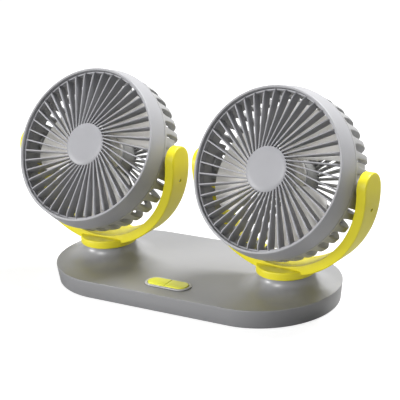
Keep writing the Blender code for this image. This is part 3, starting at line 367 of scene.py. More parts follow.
def moulded(name, colour, roughness, strength=0.35, cloud=0.05, coat=0.0, glow=0.0):
    """Moulded plastic: spark-eroded grain, faint flow clouds in the colour and uneven gloss."""
    made, tree, shader = material(name, colour, roughness)
    grain = noise(tree, GRAIN_SCALE, 3)
    clouds = noise(tree, CLOUD_SCALE, 3)
    streaks = noise(tree, STREAK_SCALE, 2)
    dark = shaded(colour, 1 - cloud)
    light = shaded(colour, 1 + cloud)
    clouded = tinted(tree, spread(tree, clouds, 0, 1), dark, light)
    uneven = spread(tree, streaks, roughness - GLOSS_DOWN, roughness + GLOSS_UP)
    tree.links.new(clouded, shader.inputs["Base Color"])
    tree.links.new(uneven, shader.inputs["Roughness"])
    bump(tree, shader, grain, strength, GRAIN_DEPTH)
    shader.inputs["Coat Weight"].default_value = coat
    shader.inputs["Coat Roughness"].default_value = COAT_ROUGHNESS
    if glow:
        shader.inputs["Subsurface Weight"].default_value = glow
        shader.inputs["Subsurface Radius"].default_value = GLOW_RADIUS
        shader.inputs["Subsurface Scale"].default_value = GLOW_SCALE
    return made


def rubber(name, colour):
    """Matt rubber with a coarse grain and a dusting that lightens it."""
    made, tree, shader = material(name, colour, 0.8)
    grain = noise(tree, 900, 4)
    dust = noise(tree, 60, 4)
    tree.links.new(
        tinted(tree, spread(tree, dust, 0, 1), shaded(colour, 0.8), shaded(colour, 1.5)),
        shader.inputs["Base Color"],
    )
    tree.links.new(spread(tree, dust, 0.72, 0.9), shader.inputs["Roughness"])
    bump(tree, shader, grain, 0.6, 0.00008)
    return made


def steel(name, colour, roughness):
    """Plated steel with turning marks and faint stains."""
    made, tree, shader = material(name, colour, roughness, 1.0)
    turned = noise(tree, 120, 4, (1, 1, 30))
    stain = noise(tree, 300, 3)
    uneven = spread(tree, turned, roughness - 0.08, roughness + 0.1)
    tree.links.new(uneven, shader.inputs["Roughness"])
    tree.links.new(
        tinted(tree, spread(tree, stain, 0, 1), shaded(colour, 0.9), shaded(colour, 1.06)),
        shader.inputs["Base Color"],
    )
    bump(tree, shader, turned, 0.12, 0.00002)
    return made


def board_lacquer(name, colour):
    """A circuit board's lacquer, with the copper's pattern showing through."""
    made, tree, shader = material(name, colour, 0.35)
    place = tree.nodes.new("ShaderNodeTexCoord")
    tracks = tree.nodes.new("ShaderNodeTexBrick")
    tracks.inputs["Scale"].default_value = 260
    tracks.inputs["Mortar Size"].default_value = 0.08
    tracks.inputs["Color1"].default_value = (*shaded(colour, 0.8), 1)
    tracks.inputs["Color2"].default_value = (*shaded(colour, 1.1), 1)
    tracks.inputs["Mortar"].default_value = (*shaded(colour, 2.0), 1)
    tree.links.new(place.outputs["Object"], tracks.inputs["Vector"])
    tree.links.new(tracks.outputs["Color"], shader.inputs["Base Color"])
    bump(tree, shader, tracks.outputs["Fac"], 0.2, 0.00004)
    return made


DECK_GREY = moulded("deck_grey", (0.26, 0.26, 0.268), 0.32, strength=0.03, cloud=0.01, coat=0.5)
BODY_GREY = moulded("body_grey", (0.35, 0.35, 0.365), 0.42, coat=0.1)
GUARD_GREY = moulded("guard_grey", (0.36, 0.36, 0.36), 0.45)
GRILLE_GREY = moulded("grille_grey", (0.35, 0.35, 0.37), 0.4)
BEZEL_GREY = moulded("bezel_grey", (0.50, 0.50, 0.50), 0.35)
YELLOW = moulded("lemon_yellow", (0.78, 0.69, 0.02), 0.42, cloud=0.03)
BUTTON_YELLOW = moulded(
    "button_yellow", (0.84, 0.84, 0.06), 0.3, strength=0.15, cloud=0.02, coat=0.2
)
BLADE_GREY = moulded("warm_grey", (0.82, 0.80, 0.76), 0.35, strength=0.15, cloud=0.02, glow=0.3)
BLACK = moulded("black_plastic", (0.02, 0.02, 0.02), 0.5)
RUBBER = rubber("dark_rubber", (0.025, 0.025, 0.025))
STEEL = steel("plated_steel", (0.56, 0.56, 0.57), 0.3)
BOARD = board_lacquer("board_green", (0.02, 0.13, 0.05))


# Mesh tools

def arc(centre, start, end, steps):
    """Points on the short way round from one point to another."""
    first = start - centre
    last = end - centre
    begin = math.atan2(first.y, first.x)
    sweep = (math.atan2(last.y, last.x) - begin + math.pi) % (2 * math.pi) - math.pi
    radius = first.length
    points = []
    for step in range(steps + 1):
        angle = begin + sweep * step / steps
        points.append((centre.x + radius * math.cos(angle), centre.y + radius * math.sin(angle)))
    return points


def filleted(corners, closed=False, steps=4):
    """Rounds each (a, b, radius) corner of an outline."""
    points = []
    count = len(corners)
    for index, (a, b, radius) in enumerate(corners):
        if radius == 0 or (not closed and index in (0, count - 1)):
            points.append((a, b))
            continue
        here = Vector((a, b))
        before = Vector(corners[index - 1][:2]) - here
        after = Vector(corners[(index + 1) % count][:2]) - here
        half = before.angle(after) / 2
        reach = min(radius / math.tan(half), 0.49 * before.length, 0.49 * after.length)
        start = here + before.normalized() * reach
        end = here + after.normalized() * reach
        middle = (before.normalized() + after.normalized()).normalized()
        points += arc(here + middle * (reach / math.cos(half)), start, end, steps)
    return points


def bridge(body, near, far, around=True):
    """Joins two rows of points, one face to each pair of neighbours."""
    count = len(near)
    for index in range(count if around else count - 1):
        after = (index + 1) % count
        corners = list(dict.fromkeys([near[index], near[after], far[after], far[index]]))
        if len(corners) > 2:
            body.faces.new(corners)


def lathe(body, profile, steps, closed=False, start=0.0, sweep=2 * math.pi):
    """Turns (radius, height) points about Z. A part turn leaves its ends open."""
    poles = {}
    for index, (radius, height) in enumerate(profile):
        if radius < 1e-6:
            poles[index] = body.verts.new((0, 0, height))
    full = sweep > 2 * math.pi - 1e-6
    columns = []
    for step in range(steps if full else steps + 1):
        angle = start + sweep * step / steps
        column = []
        for index, (radius, height) in enumerate(profile):
            point = (radius * math.cos(angle), radius * math.sin(angle), height)
            column.append(poles[index] if index in poles else body.verts.new(point))
        columns.append(column)
    pairs = list(zip(columns, columns[1:]))
    if full:
        pairs.append((columns[-1], columns[0]))
    for near, far in pairs:
        bridge(body, near, far, closed)
    return columns


def capped_wedge(body, profile, start, sweep):
    """A part turn of a closed profile, with both ends filled."""
    columns = lathe(body, profile, WEDGE_STEPS, True, start, sweep)
    body.faces.new(columns[0])
    body.faces.new(columns[-1])


def loft(body, sections, capped=True):
    """A skin over closed sections of equal length."""
    loops = [[body.verts.new(point) for point in section] for section in sections]
    for near, far in zip(loops, loops[1:]):
        bridge(body, near, far)
    if capped:
        body.faces.new(loops[0])
        body.faces.new(loops[-1])


def stadium(length, width, steps):
    """Points round a rectangle whose short sides are half circles."""
    radius = width / 2
    reach = length / 2 - radius
    outline = []
    for sign, start in ((1, -math.pi / 2), (-1, math.pi / 2)):
        for step in range(steps + 1):
            angle = start + math.pi * step / steps
            outline.append((sign * reach + radius * math.cos(angle), radius * math.sin(angle)))
    return outline


def stadium_bands(body, length, width, profile, steps, closed=False):
    """Loops of a stadium, one for each (margin, height), joined in order."""
    loops = []
    for margin, height in profile:
        outline = stadium(length + 2 * margin, width + 2 * margin, steps)
        loops.append([body.verts.new((x, y, height)) for x, y in outline])
    for near, far in zip(loops, loops[1:]):
        bridge(body, near, far)
    if closed:
        bridge(body, loops[-1], loops[0])
    return loops


def capped_bands(body, length, width, profile, steps):
    """Loops of a stadium with the first and last filled."""
    loops = stadium_bands(body, length, width, profile, steps)
    body.faces.new(loops[0])
    body.faces.new(loops[-1])


def fill_flat(body, loops):
    """Fills a flat area between an outer loop and the holes in it."""
    edges = []
    for loop in loops:
        for index, vert in enumerate(loop):
            after = loop[(index + 1) % len(loop)]
            edges.append(body.edges.get((vert, after)) or body.edges.new((vert, after)))
    bmesh.ops.triangle_fill(body, use_beauty=True, use_dissolve=False, edges=edges)


def shade(mesh, angle):
    """Smooth shading, apart from edges over the angle in degrees."""
    mesh.shade_smooth()
    mesh.set_sharp_from_angle(angle=math.radians(angle))


def solid(name, body, look=None, sharp=SHARP, matrix=None):
    """An object from a bmesh in millimetres."""
    bmesh.ops.remove_doubles(body, verts=body.verts, dist=1e-5)
    bmesh.ops.recalc_face_normals(body, faces=body.faces)
    bmesh.ops.scale(body, vec=(MM, MM, MM), verts=body.verts)
    mesh = bpy.data.meshes.new(name)
    body.to_mesh(mesh)
    body.free()
    piece = bpy.data.objects.new(name, mesh)
    bpy.context.scene.collection.objects.link(piece)
    if look:
        mesh.materials.append(look)
    if matrix:
        piece.matrix_world = matrix
    shade(mesh, sharp)
    return piece


def carve(piece, cutters, operation="DIFFERENCE", sharp=SHARP):
    """Cuts the other objects from a piece, or joins them to it, and keeps only the result."""
    for cutter in cutters:
        step = piece.modifiers.new(cutter.name, "BOOLEAN")
        step.operation = operation
        step.solver = "EXACT"
        step.object = cutter
    bpy.context.view_layer.update()
    graph = bpy.context.evaluated_depsgraph_get()
    mesh = bpy.data.meshes.new_from_object(piece.evaluated_get(graph))
    piece.modifiers.clear()
    piece.data = mesh
    for cutter in cutters:
        bpy.data.objects.remove(cutter)
    shade(mesh, sharp)


def place(piece, body, slot_name, *nodes):
    """Puts a piece on its body, and in place of the solids it stands for. Its slot name is not
    used.
    """
    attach(piece, body)
    if nodes:
        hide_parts(*nodes)


# Base

def flare(foot, top, wall):
    """The concave side of a pedestal, from foot to top."""
    points = []
    for step in range(FLARE_STEPS + 1):
        angle = math.pi / 2 * step / FLARE_STEPS
        radius = foot - (foot - top) * math.sin(angle)
        points.append((radius, DECK + RISE * (1 - math.cos(angle)) - wall))
    return points


def ring_of(body, x, radius, height, steps):
    """A level circle of points about a head's vertical axis."""
    loop = []
    for step in range(steps):
        angle = 2 * math.pi * step / steps
        point = (x + radius * math.cos(angle), radius * math.sin(angle), height)
        loop.append(body.verts.new(point))
    return loop


def rear_wall_matrix(y, sign):
    """At the socket's height, with Z to the rear for a sign of -1 and to the front for 1."""
    place_at = Matrix.Translation(Vector((0, y, SOCKET_Z)) * MM)
    return place_at @ Euler((sign * math.pi / 2, 0, 0)).to_matrix().to_4x4()


def make_shell():
    """The base's top shell: deck and skirt, two hollow pedestals, a button window and a socket
    hole."""
    body = bmesh.new()
    outside = filleted(
        [
            (-FOOT_INSET, SHELL_LIFT, 0),
            (-DRAFT, SHELL_LIFT, FOOT_EDGE),
            (0, DECK, DECK_EDGE),
            (-DECK_EDGE_REACH, DECK, 0),
        ],
        steps=5,
    )
    outer = stadium_bands(body, BASE_LENGTH, BASE_WIDTH, outside, CORNER_STEPS)
    underside = DECK - DECK_WALL
    inside = [
        (-FOOT_INSET, SHELL_LIFT),
        (-FOOT_INSET, PLATE_TOP),
        (-DRAFT - SIDE_WALL, underside),
    ]
    inner = stadium_bands(body, BASE_LENGTH, BASE_WIDTH, inside, CORNER_STEPS)
    outer_flare = flare(FOOT_RADIUS, TOP_RADIUS, 0)
    top = [
        (*outer_flare[-2], 0),
        (TOP_RADIUS, PEDESTAL_TOP, PEDESTAL_EDGE),
        (BORE, PEDESTAL_TOP, 0),
    ]
    hollow = flare(FOOT_RADIUS - HOLLOW_INSET, TOP_RADIUS - DECK_WALL, DECK_WALL)
    hollow.reverse()
    profile = [*outer_flare[:-2], *filleted(top, steps=3), (BORE, hollow[0][1]), *hollow]
    top_holes = []
    under_holes = []
    for sign in (-1, 1):
        loops = []
        for radius, height in profile:
            loops.append(ring_of(body, sign * HEAD_X, radius, height, PEDESTAL_STEPS))
        for near, far in zip(loops, loops[1:]):
            bridge(body, near, far)
        top_holes.append(loops[0])
        under_holes.append(loops[-1])
    window = []
    window_length = BUTTON_LENGTH + 2 * WINDOW_MARGIN
    window_width = BUTTON_WIDTH + 2 * WINDOW_MARGIN
    for height in (DECK, underside):
        outline = stadium(window_length, window_width, BUTTON_STEPS)
        window.append([body.verts.new((x, y + BUTTON_Y, height)) for x, y in outline])
    bridge(body, window[0], window[1])
    fill_flat(body, [outer[-1], *top_holes, window[0]])
    fill_flat(body, [inner[-1], *under_holes, window[1]])
    shell = solid("top_shell", body, DECK_GREY, SHELL_SHARP)
    hole = bmesh.new()
    capped_bands(hole, SOCKET_LENGTH, SOCKET_WIDTH, SOCKET_HOLE, SOCKET_STEPS)
    turn = rear_wall_matrix(SOCKET_HOLE_Y, -1)
    carve(shell, [solid("socket_hole", hole, matrix=turn)], sharp=SHELL_SHARP)
    place(shell, "base", "deck_grey", "base_top_shell")


def make_plate():
    """The plate that closes the base from below."""
    body = bmesh.new()
    margin = -FOOT_INSET - GAP
    profile = [
        (margin, PLATE_TOP),
        (margin, PLATE_BOTTOM + PLATE_EDGE),
        (margin - PLATE_EDGE, PLATE_BOTTOM),
    ]
    capped_bands(body, BASE_LENGTH, BASE_WIDTH, profile, CORNER_STEPS)
    place(solid("bottom_plate", body, GUARD_GREY), "base", "body_grey", "base_bottom_plate")


def make_pad():
    """A rubber pad with raised bands, which stand on the surface."""
    body = bmesh.new()
    margin = -PAD_INSET - PAD_EDGE
    profile = [(-PAD_INSET, PAD_TOP), (-PAD_INSET, PAD_EDGE), (margin, 0)]
    for _ in range(PAD_BANDS):
        profile += [(margin - inset, height) for inset, height in PAD_BAND]
        margin -= PAD_BAND_PITCH
    capped_bands(body, BASE_LENGTH, BASE_WIDTH, profile, CORNER_STEPS)
    place(solid("grip_pad", body, RUBBER), "base", "dark_rubber", "anti_slip_pad")


def make_bezel():
    """A raised rim round both buttons, with a lip on the deck and a wall through its window."""
    body = bmesh.new()
    corners = [
        (GAP, BUTTON_BOTTOM + BEZEL_FOOT, 0.1),
        (GAP + BEZEL_WALL, BUTTON_BOTTOM + BEZEL_FOOT, 0.1),
        (GAP + BEZEL_WALL, DECK + GAP, 0),
        (GAP + BEZEL_LIP, DECK + GAP, 0.08),
        (GAP + BEZEL_LIP, DECK + BEZEL_HEIGHT, 0.45),
        (GAP, DECK + BEZEL_HEIGHT, 0.3),
    ]
    profile = filleted(corners, True)
    stadium_bands(body, BUTTON_LENGTH, BUTTON_WIDTH, profile, BUTTON_STEPS, closed=True)
    bmesh.ops.translate(body, vec=(0, BUTTON_Y, 0), verts=body.verts)
    place(solid("bezel", body, BEZEL_GREY), "base", "bezel_grey", "button_bezel")


def button_outline(inset, sign, grow):
    """Half of the capsule, inset evenly on all its sides."""
    radius = BUTTON_WIDTH / 2 + grow - inset
    reach = (BUTTON_LENGTH - BUTTON_WIDTH) / 2
    points = [(sign * (BUTTON_GAP / 2 + inset), -radius)]
    for step in range(BUTTON_STEPS + 1):
        angle = -math.pi / 2 + math.pi * step / BUTTON_STEPS
        points.append((sign * (reach + radius * math.cos(angle)), radius * math.sin(angle)))
    points.append((sign * (BUTTON_GAP / 2 + inset), radius))
    return points


def make_buttons():
    """Two slightly domed halves of a capsule, each on a flange that the bezel holds down."""
    top = BUTTON_TOP - BUTTON_CROWN
    side_top = top - BUTTON_EDGE
    flange_top = BUTTON_BOTTOM + BUTTON_FLANGE_HEIGHT
    edge = arc(
        Vector((BUTTON_EDGE, side_top)), Vector((0, side_top)), Vector((BUTTON_EDGE, top)), 5
    )
    profile = [
        (0, BUTTON_FLANGE, BUTTON_BOTTOM),
        (0, BUTTON_FLANGE, flange_top),
        (0, 0, flange_top),
    ]
    profile += [(inset, 0, height) for inset, height in edge]
    for step in range(1, BUTTON_CROWN_STEPS + 1):
        inset = BUTTON_EDGE + (BUTTON_WIDTH / 2 - BUTTON_CORE) * step / BUTTON_CROWN_STEPS
        share = step / BUTTON_CROWN_STEPS
        profile.append((inset, 0, top + BUTTON_CROWN * (1 - (1 - share) ** 2)))
    for side, sign in SIGN.items():
        body = bmesh.new()
        sections = []
        for inset, grow, height in profile:
            sections.append([(x, y, height) for x, y in button_outline(inset, sign, grow)])
        loft(body, sections)
        bmesh.ops.translate(body, vec=(0, BUTTON_Y, 0), verts=body.verts)
        piece = solid(side + "_button_cap", body, BUTTON_YELLOW, BUTTON_SHARP)
        place(piece, side + "_button", "button_yellow", side + "_button")


def make_socket():
    """A metal mouth with a black tongue, in the rear wall."""
    turn = rear_wall_matrix(SOCKET_REAR, 1)
    body = bmesh.new()
    capped_bands(body, SOCKET_LENGTH, SOCKET_WIDTH, SOCKET_SHELL, SOCKET_STEPS)
    place(solid("socket_shell", body, STEEL, matrix=turn), "base", "plated_steel", "power_socket")
    body = bmesh.new()
    sections = []
    for x, y, z in SOCKET_TONGUE:
        sections.append([(-x, -y, z), (x, -y, z), (x, y, z), (-x, y, z)])
    loft(body, sections)
    place(solid("socket_tongue", body, BLACK, matrix=turn), "base", "black_plastic")


# Yokes

def yoke_matrix(side):
    """On the table under the pedestal, turned as the yoke is."""
    centre = Matrix.Translation((SIGN[side] * HEAD_X * MM, 0, 0))
    return centre @ Matrix.Rotation(SWIVEL[side], 4, "Z")


def head_matrix(side):
    """On the tilt axis, with Z along the head's own axis."""
    return (
        yoke_matrix(side)
        @ Matrix.Translation((0, 0, PIVOT * MM))
        @ Matrix.Rotation(math.pi / 2 - TILT[side], 4, "X")
    )


def strap(body, profile, end, sunk):
    """A strap bent round the pivot. The profile is (half width, radius) points from the outer
    middle to the inner middle. Each arm ends in a half turn of the profile about the tilt axis.
    From the end angle on each side to the other, the sunk profile takes over."""
    def section(angle, shape):
        points = []
        for width, radius in shape:
            points.append((radius * math.cos(angle), width, PIVOT + radius * math.sin(angle)))
        for width, radius in reversed(shape[1:-1]):
            points.append((radius * math.cos(angle), -width, PIVOT + radius * math.sin(angle)))
        return points

    whole = [-math.pi * step / STRAP_STEPS for step in range(STRAP_STEPS + 1)]
    sweep = math.pi - 2 * end
    shapes = [(angle, profile) for angle in whole if angle >= -end]
    shapes.append((-end, profile))
    shapes += [(-end - sweep * step / STRAP_STEPS, sunk) for step in range(STRAP_STEPS + 1)]
    shapes.append((-math.pi + end, profile))
    shapes += [(angle, profile) for angle in whole if angle <= -math.pi + end]
    loft(body, [section(angle, shape) for angle, shape in shapes], capped=False)
    for sign in (1, -1):
        columns = []
        for step in range(CROWN_STEPS + 1):
            turn = math.pi * step / CROWN_STEPS
            column = []
            for width, radius in profile:
                point = (sign * radius, width * math.cos(turn), PIVOT + width * math.sin(turn))
                column.append(body.verts.new(point))
            columns.append(column)
        for near, far in zip(columns, columns[1:]):
            bridge(body, near, far, around=False)


def yoke_profile(sunk):
    """Half of the strap's section, with or without the channel for the cover."""
    corners = [
        (0, YOKE_OUT, 0),
        (YOKE_HALF / 3, YOKE_OUT, 0),
        (YOKE_HALF * 2 / 3, YOKE_OUT, 0),
        (YOKE_HALF, YOKE_OUT, 0.9),
        (YOKE_HALF, YOKE_IN, 0.6),
    ]
    if sunk:
        corners += [
            (COVER_HALF + GAP, YOKE_IN, 0.1),
            (COVER_HALF + GAP, COVER_OUT + GAP, 0),
            (0, COVER_OUT + GAP, 0),
        ]
    else:
        corners += [(COVER_HALF + GAP, YOKE_IN, 0), (COVER_HALF, YOKE_IN, 0), (0, YOKE_IN, 0)]
    return filleted(corners)


def arm_screw(side, end, place_at):
    """A cross-head screw in an arm's outer face. Returns the cutter for its hole."""
    hole = bmesh.new()
    lathe(hole, SCREW_HOLE, SCREW_STEPS)
    screw = bmesh.new()
    lathe(screw, SCREW, SCREW_STEPS)
    made = solid(side + "_arm_fixing_" + end, screw, STEEL, YOKE_SHARP, place_at)
    corners = [
        (-SLOT_REACH, -SLOT_HALF),
        (SLOT_REACH, -SLOT_HALF),
        (SLOT_REACH, SLOT_HALF),
        (-SLOT_REACH, SLOT_HALF),
    ]
    slots = []
    for spin in (0, math.pi / 2):
        slot = bmesh.new()
        loft(slot, [[(x, y, height) for x, y in corners] for height in (SLOT_FLOOR, 0)])
        turned = place_at @ Matrix.Rotation(spin, 4, "Z")
        slots.append(solid("slot", slot, None, YOKE_SHARP, turned))
    carve(made, slots)
    place(made, side + "_yoke", "plated_steel", side + "_arm_screw_" + end)
    return solid(side + "_screw_hole_" + end, hole, None, YOKE_SHARP, place_at)


def make_cover(side):
    """The strip that closes the yoke's wire channel."""
    strip = bmesh.new()
    corners = [
        (COVER_HALF, COVER_OUT, 0),
        (COVER_HALF, YOKE_IN, COVER_EDGE),
        (-COVER_HALF, YOKE_IN, COVER_EDGE),
        (-COVER_HALF, COVER_OUT, 0),
    ]
    shape = filleted(corners, True)
    sections = []
    for step in range(STRAP_STEPS + 1):
        turn = -COVER_END - (math.pi - 2 * COVER_END) * step / STRAP_STEPS
        sections.append([(r * math.cos(turn), w, PIVOT + r * math.sin(turn)) for w, r in shape])
    loft(strip, sections)
    cover = solid(side + "_channel_cover", strip, YELLOW, YOKE_SHARP, yoke_matrix(side))
    place(cover, side + "_yoke", "lemon_yellow", side + "_yoke_cover")


def make_yoke(side):
    """A strap with its turntable in one piece, its two screws and its cover."""
    matrix = yoke_matrix(side)
    body = bmesh.new()
    plain = yoke_profile(False)
    sunk = yoke_profile(True)
    # Both profiles need the same number of points where they meet
    extra = len(sunk) - len(plain)
    plain = plain[:-3] + [plain[-3]] * (extra + 1) + plain[-2:]
    strap(body, plain, COVER_END - GAP / YOKE_IN, sunk)
    band = solid(side + "_yoke_band", body, YELLOW, YOKE_SHARP, matrix)
    disc = bmesh.new()
    corners = [
        (0, TURNTABLE_BOTTOM, 0),
        (TURNTABLE_RADIUS, TURNTABLE_BOTTOM, 0.6),
        (TURNTABLE_RADIUS, TURNTABLE_TOP, 1.1),
        (0, TURNTABLE_TOP, 0),
    ]
    lathe(disc, filleted(corners, steps=5), DISC_STEPS)
    plate = solid(side + "_turn_disc", disc, YELLOW, YOKE_SHARP, matrix)
    carve(band, [plate], "UNION", YOKE_SHARP)
    bore = bmesh.new()
    lathe(bore, SPINDLE_BORE, BORE_STEPS)
    cutters = [solid(side + "_spindle_bore", bore, None, YOKE_SHARP, matrix)]
    angle = math.asin(ARM_SCREW_DROP / YOKE_OUT)
    for end, sign in (("a", -1), ("b", 1)):
        spot = (sign * YOKE_OUT * math.cos(angle), 0, PIVOT - YOKE_OUT * math.sin(angle))
        turn = Matrix.Rotation(sign * (math.pi / 2 + angle), 4, "Y")
        cutters.append(arm_screw(side, end, matrix @ Matrix.Translation(Vector(spot) * MM) @ turn))
    carve(band, cutters, sharp=YOKE_SHARP)
    place(band, side + "_yoke", "lemon_yellow", side + "_yoke")
    make_cover(side)


# Heads

def make_ring(side):
    """The front ring, narrower at its mouth than at its rear."""
    body = bmesh.new()
    corners = [
        (RING_REAR_RADIUS - RING_WALL, RING_REAR, 0.15),
        (RING_REAR_RADIUS, RING_REAR, 0.3),
        (RIM, RIM_FRONT, 0.8),
        (MOUTH, RIM_FRONT - 0.1, 0.5),
        (MOUTH, BAND_FRONT - 0.1, 0.2),
    ]
    lathe(body, filleted(corners, True, 5), STEPS, True)
    ring = solid(side + "_ring", body, BODY_GREY, RING_SHARP, head_matrix(side))
    place(ring, side + "_head", "body_grey", side + "_front_ring")


def vane(body, turn):
    """One front vane: straight past the middle, it deepens outwards and rounds off at its tip."""
    start = HUB_RADIUS - VANE_OVERLAP
    sections = []
    for step in range(VANE_STATIONS + 1):
        share = step / VANE_STATIONS
        radius = start + (VANE_END - start) * math.sin(math.pi / 2 * share) ** VANE_SPACING
        real = max(0.0, (radius - HUB_RADIUS) / (VANE_END - HUB_RADIUS))
        tip = max(0.0, (radius - VANE_END + TIP_ROUND) / TIP_ROUND)
        drop = TIP_ROUND * (1 - math.sqrt(max(0.0, 1 - tip * tip)))
        front = HUB_FRONT - VANE_SINK + VANE_CLIMB * real - drop
        back = HUB_FRONT - VANE_ROOT_DEPTH - VANE_DEEPENING * math.sin(math.pi / 2 * real)
        lean = math.asin(VANE_MISS / radius)
        angle = turn + lean - math.asin(VANE_MISS / VANE_END)
        out = Vector((math.cos(angle), math.sin(angle), 0))
        side = Vector((-math.sin(angle), math.cos(angle), 0))
        across = (side + out * math.tan(lean)).normalized()
        half = VANE_HALF + VANE_WIDENING * real
        shoulder = half - VANE_EDGE
        crest = front - VANE_EDGE
        points = []
        for corner in range(4):
            bend = math.pi / 2 * corner / 3
            aside = shoulder + VANE_EDGE * math.cos(bend)
            points.append((aside, crest + VANE_EDGE * math.sin(bend)))
        points += [(-a, b) for a, b in reversed(points)]
        belly = half + VANE_BELLY
        foot = half * VANE_BACK_SHARE
        waist = (front + back) / 2
        points += [(-belly, waist), (-foot, back), (foot, back), (belly, waist)]
        sections.append([out * radius + across * a + Vector((0, 0, b)) for a, b in points])
    loft(body, sections)


def make_grille(side):
    """The front grille: a slightly domed hub disc, the vanes and the band that holds their ends."""
    body = bmesh.new()
    disc = [
        (0, HUB_FRONT + 0.35, 0),
        (HUB_RADIUS * 0.4, HUB_FRONT + 0.3, 0),
        (HUB_RADIUS * 0.75, HUB_FRONT + 0.16, 0),
        (HUB_RADIUS - 0.6, HUB_FRONT, 0),
        (HUB_RADIUS, HUB_FRONT - 0.5, 0.4),
        (HUB_RADIUS, HUB_FRONT - HUB_DEPTH, 0.3),
        (0, HUB_FRONT - HUB_DEPTH, 0),
    ]
    lathe(body, filleted(disc), DISC_STEPS)
    band = [
        (BAND_OUT, BAND_FRONT, 0.15),
        (BAND_IN, BAND_FRONT, 0.3),
        (BAND_IN, BAND_BACK, 0.2),
        (BAND_OUT, BAND_BACK, 0.2),
    ]
    lathe(body, filleted(band, True), STEPS, True)
    for index in range(VANES):
        vane(body, VANE_TURN + 2 * math.pi * index / VANES)
    grille = solid(side + "_grille", body, GRILLE_GREY, GRILLE_SHARP, head_matrix(side))
    place(grille, side + "_head", "grille_grey", side + "_front_grille")


def bowl_curve():
    """Evenly spaced points of the bowl's profile, from the cup to the flange, each with its
    inward normal."""
    limit = math.acos(((CUP_RADIUS - RIB_OVERLAP) / BOWL_RADIUS) ** (BOWL_POWER / 2))
    dense = []
    for step in range(BOWL_SAMPLES + 1):
        angle = limit * (1 - step / BOWL_SAMPLES) ** 2
        across = math.cos(angle) ** (2 / BOWL_POWER)
        along = math.sin(angle) ** (2 / BOWL_POWER)
        dense.append(Vector((BOWL_RADIUS * across, BOWL_REAR - BOWL_DEPTH * along)))
    lengths = [0.0]
    for before, after in zip(dense, dense[1:]):
        lengths.append(lengths[-1] + (after - before).length)
    points = []
    index = 0
    for station in range(RIB_STATIONS + 1):
        goal = lengths[-1] * station / RIB_STATIONS
        while index < BOWL_SAMPLES - 1 and lengths[index + 1] < goal:
            index += 1
        share = (goal - lengths[index]) / (lengths[index + 1] - lengths[index])
        along = (dense[index + 1] - dense[index]).normalized()
        points.append((dense[index].lerp(dense[index + 1], share), Vector((-along.y, along.x))))
    return points


def rib(body, curve, turn):
    """One rear rib: a deep rounded bar along the bowl, which widens outwards and flares where it
    meets the flange."""
    sections = []
    out = Vector((math.cos(turn), math.sin(turn), 0))
    side = Vector((-math.sin(turn), math.cos(turn), 0))
    count = len(curve) - 1
    for step, (point, inward) in enumerate(curve):
        share = step / count
        real = max(0.0, (point.x - CUP_RADIUS) / (BOWL_RADIUS - CUP_RADIUS))
        deepening = math.sin(math.pi * min(1.0, share * 1.25) * 0.5)
        depth = RIB_DEPTH * (RIB_ROOT_SHARE + (1 - RIB_ROOT_SHARE) * deepening)
        near = max(0.0, (share - RIB_FLARE_START) / (1 - RIB_FLARE_START))
        width = RIB_ROOT_WIDTH + (RIB_WIDTH - RIB_ROOT_WIDTH) * real**RIB_SPREAD
        half = width / 2 + RIB_FLARE * near**3
        outline = []
        for corner in range(5):
            bend = math.pi / 2 * corner / 4
            across = half - RIB_EDGE + RIB_EDGE * math.cos(bend)
            outline.append((across, RIB_EDGE - RIB_EDGE * math.sin(bend)))
        outline += [(-a, b) for a, b in reversed(outline)]
        heel = depth - RIB_HEEL
        outline += [(-half * 0.6, heel), (-half * 0.4, depth)]
        outline += [(half * 0.4, depth), (half * 0.6, heel)]
        points = []
        for a, b in outline:
            spot = point + inward * b
            points.append(out * spot.x + side * a + Vector((0, 0, spot.y)))
        sections.append(points)
    sections.append([spot + Vector((0, 0, RIB_TAIL)) for spot in sections[-1]])
    loft(body, sections)


